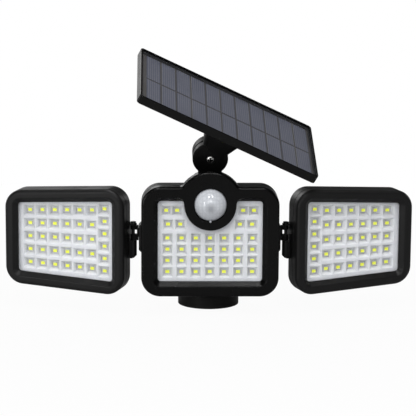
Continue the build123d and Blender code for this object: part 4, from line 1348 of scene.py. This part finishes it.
@dataclass
class Studio:
    """Pale floor, soft light and the camera of the picture."""

    azimuth: float = -1.7
    elevation: float = 11.45
    roll: float = -0.4
    distance: float = 1.56
    target: Tuple[float, float, float] = (0.0, -0.046, 0.058)
    focal: float = 1996.0
    centre: Tuple[float, float] = (210.3, 243.4)
    picture: float = 416.0
    sensor: float = 36.0
    clip: float = 0.05
    ambient: Colour = (0.64, 0.64, 0.65)
    room: Tuple[Colour, Colour] = (grey(0.02), grey(0.06))
    horizon: Span = (-0.25, 0.45)
    floor_size: float = 6.0
    floor_drop: float = 0.3 * MM
    floor_colour: Colour = grey(0.32)
    floor_roughness: float = 0.9
    glow_reach: Span = (0.1, 0.6)
    glow_share: Span = (0.955, 1.0)
    boxes: List[Softbox] = field(default_factory=lambda: [
        Softbox("Overhead left", (-0.22, -0.64, 1.28), (0.1, 0.28), 3.4),
        Softbox("Overhead right", (0.26, -0.64, 1.28), (0.1, 0.28), 3.2),
        Softbox("Bar", (-0.1, -0.16, 1.4), (0.7, 0.05), 4.6),
        Softbox("Left strip", (-0.95, -1.1, 0.28), (0.14, 0.6), 4.6),
        Softbox("Top", (-0.1, 0.15, 1.4), (0.6, 0.3), 2.0),
        Softbox("Front", (0.0, -1.6, 0.95), (1.0, 0.3), 6.4),
        Softbox("Left wall", (-1.5, 0.05, 0.2), (0.5, 0.8), 2.4),
        Softbox("Back left", (-0.9, 1.55, 0.9), (0.5, 0.9), 6.5),
        Softbox("Back low", (-0.85, 1.7, 0.2), (0.6, 0.35), 0.5),
        Softbox("Rim left", (-0.25, 1.8, 0.44), (0.4, 0.4), 0.6),
        Softbox("Back fill", (1.4, 1.15, 0.45), (0.8, 0.6), 4.6),
    ])

    def build(self) -> None:
        """Set up the world, floor, lights, camera and view."""
        self._world()
        self._floor()
        for one in self.boxes:
            one.build(Vector(self.target))
        self._camera()
        bpy.context.scene.view_settings.view_transform = "Standard"

    def _world(self) -> None:
        """Even light, white to the camera, and a dim room in reflections, less dim behind the lamp."""
        world = bpy.data.worlds.new("Studio")
        world.use_nodes = True
        bpy.context.scene.world = world
        graph = Graph(world.node_tree)
        path = graph.add("ShaderNodeLightPath").outputs
        way = graph.add("ShaderNodeSeparateXYZ", {
            "Vector": graph.add("ShaderNodeTexCoord").outputs["Generated"],
        }).outputs["Y"]
        behind = graph.remap(way, self.horizon, WHOLE)
        seen = graph.math("MAXIMUM", path["Is Glossy Ray"], path["Is Transmission Ray"])
        light = graph.mix(seen, self.ambient, graph.mix(behind, *self.room))
        colour = graph.mix(path["Is Camera Ray"], light, grey(1.0))
        background = world.node_tree.nodes["Background"].inputs
        graph.put(background["Color"], colour)
        background["Strength"].default_value = 1.0

    def _floor(self) -> None:
        """Lay a near-white floor that keeps a faint shadow."""
        mesh = bmesh.new()
        bmesh.ops.create_grid(mesh, x_segments=1, y_segments=1, size=self.floor_size)
        data = bpy.data.meshes.new("floor")
        mesh.to_mesh(data)
        mesh.free()
        floor = bpy.data.objects.new("floor", data)
        floor.location.z = -self.floor_drop
        bpy.context.scene.collection.objects.link(floor)
        material = bpy.data.materials.new("Studio floor")
        material.use_nodes = True
        graph = Graph(material.node_tree)
        paint = material.node_tree.nodes["Principled BSDF"]
        paint.inputs["Roughness"].default_value = self.floor_roughness
        paint.inputs["Specular IOR Level"].default_value = 0.0
        paint.inputs["Base Color"].default_value = (*self.floor_colour, 1.0)
        glow = graph.add("ShaderNodeEmission", {"Color": (*grey(1.0), 1.0), "Strength": 1.0})
        length = graph.add("ShaderNodeVectorMath", {0: graph.place()}, operation="LENGTH")
        reach = length.outputs["Value"]
        seen = graph.add("ShaderNodeLightPath").outputs["Is Camera Ray"]
        share = graph.math("MULTIPLY", seen, graph.remap(reach, self.glow_reach, self.glow_share))
        mixed = graph.add("ShaderNodeMixShader", {
            "Fac": share, 1: paint.outputs["BSDF"], 2: glow.outputs["Emission"],
        })
        output = material.node_tree.nodes["Material Output"]
        graph.put(output.inputs["Surface"], mixed.outputs["Shader"])
        data.materials.append(material)

    def _camera(self) -> None:
        """Put the camera at the picture's angle with its framing in the lens shift."""
        side, lift, tip = (math.radians(one) for one in (self.azimuth, self.elevation, self.roll))
        back = Vector((
            math.sin(side) * math.cos(lift), -math.cos(side) * math.cos(lift), math.sin(lift),
        ))
        right = Vector((math.cos(side), math.sin(side), 0.0))
        up = back.cross(right)
        turned = right * math.cos(tip) - up * math.sin(tip)
        upright = up * math.cos(tip) + right * math.sin(tip)
        data = bpy.data.cameras.new("Camera")
        data.sensor_width = self.sensor
        data.sensor_fit = "HORIZONTAL"
        data.lens = self.focal / self.picture * data.sensor_width
        data.shift_x = -(self.centre[0] - self.picture / 2) / self.picture
        data.shift_y = (self.centre[1] - self.picture / 2) / self.picture
        data.clip_start = self.clip
        camera = bpy.data.objects.new("Camera", data)
        matrix = Matrix((turned, upright, back)).transposed().to_4x4()
        matrix.translation = Vector(self.target) + back * self.distance
        camera.matrix_world = matrix
        bpy.context.scene.collection.objects.link(camera)
        bpy.context.scene.camera = camera


def main() -> None:
    """Build the lamp's sub-assemblies in order, then the studio."""
    logging.basicConfig(level=logging.INFO, format="%(name)s: %(message)s")
    LampHead(Head.CENTRE, BEZEL_BLACK).build()
    for side in (Head.LEFT, Head.RIGHT):
        LampHead(side, SIDE_BLACK).build()
    for part in (Sensor(), Electrics(), Hinges(), Knuckle(), Panel(), Foot(), Studio()):
        part.build()


if __name__ == "__main__":
    main()
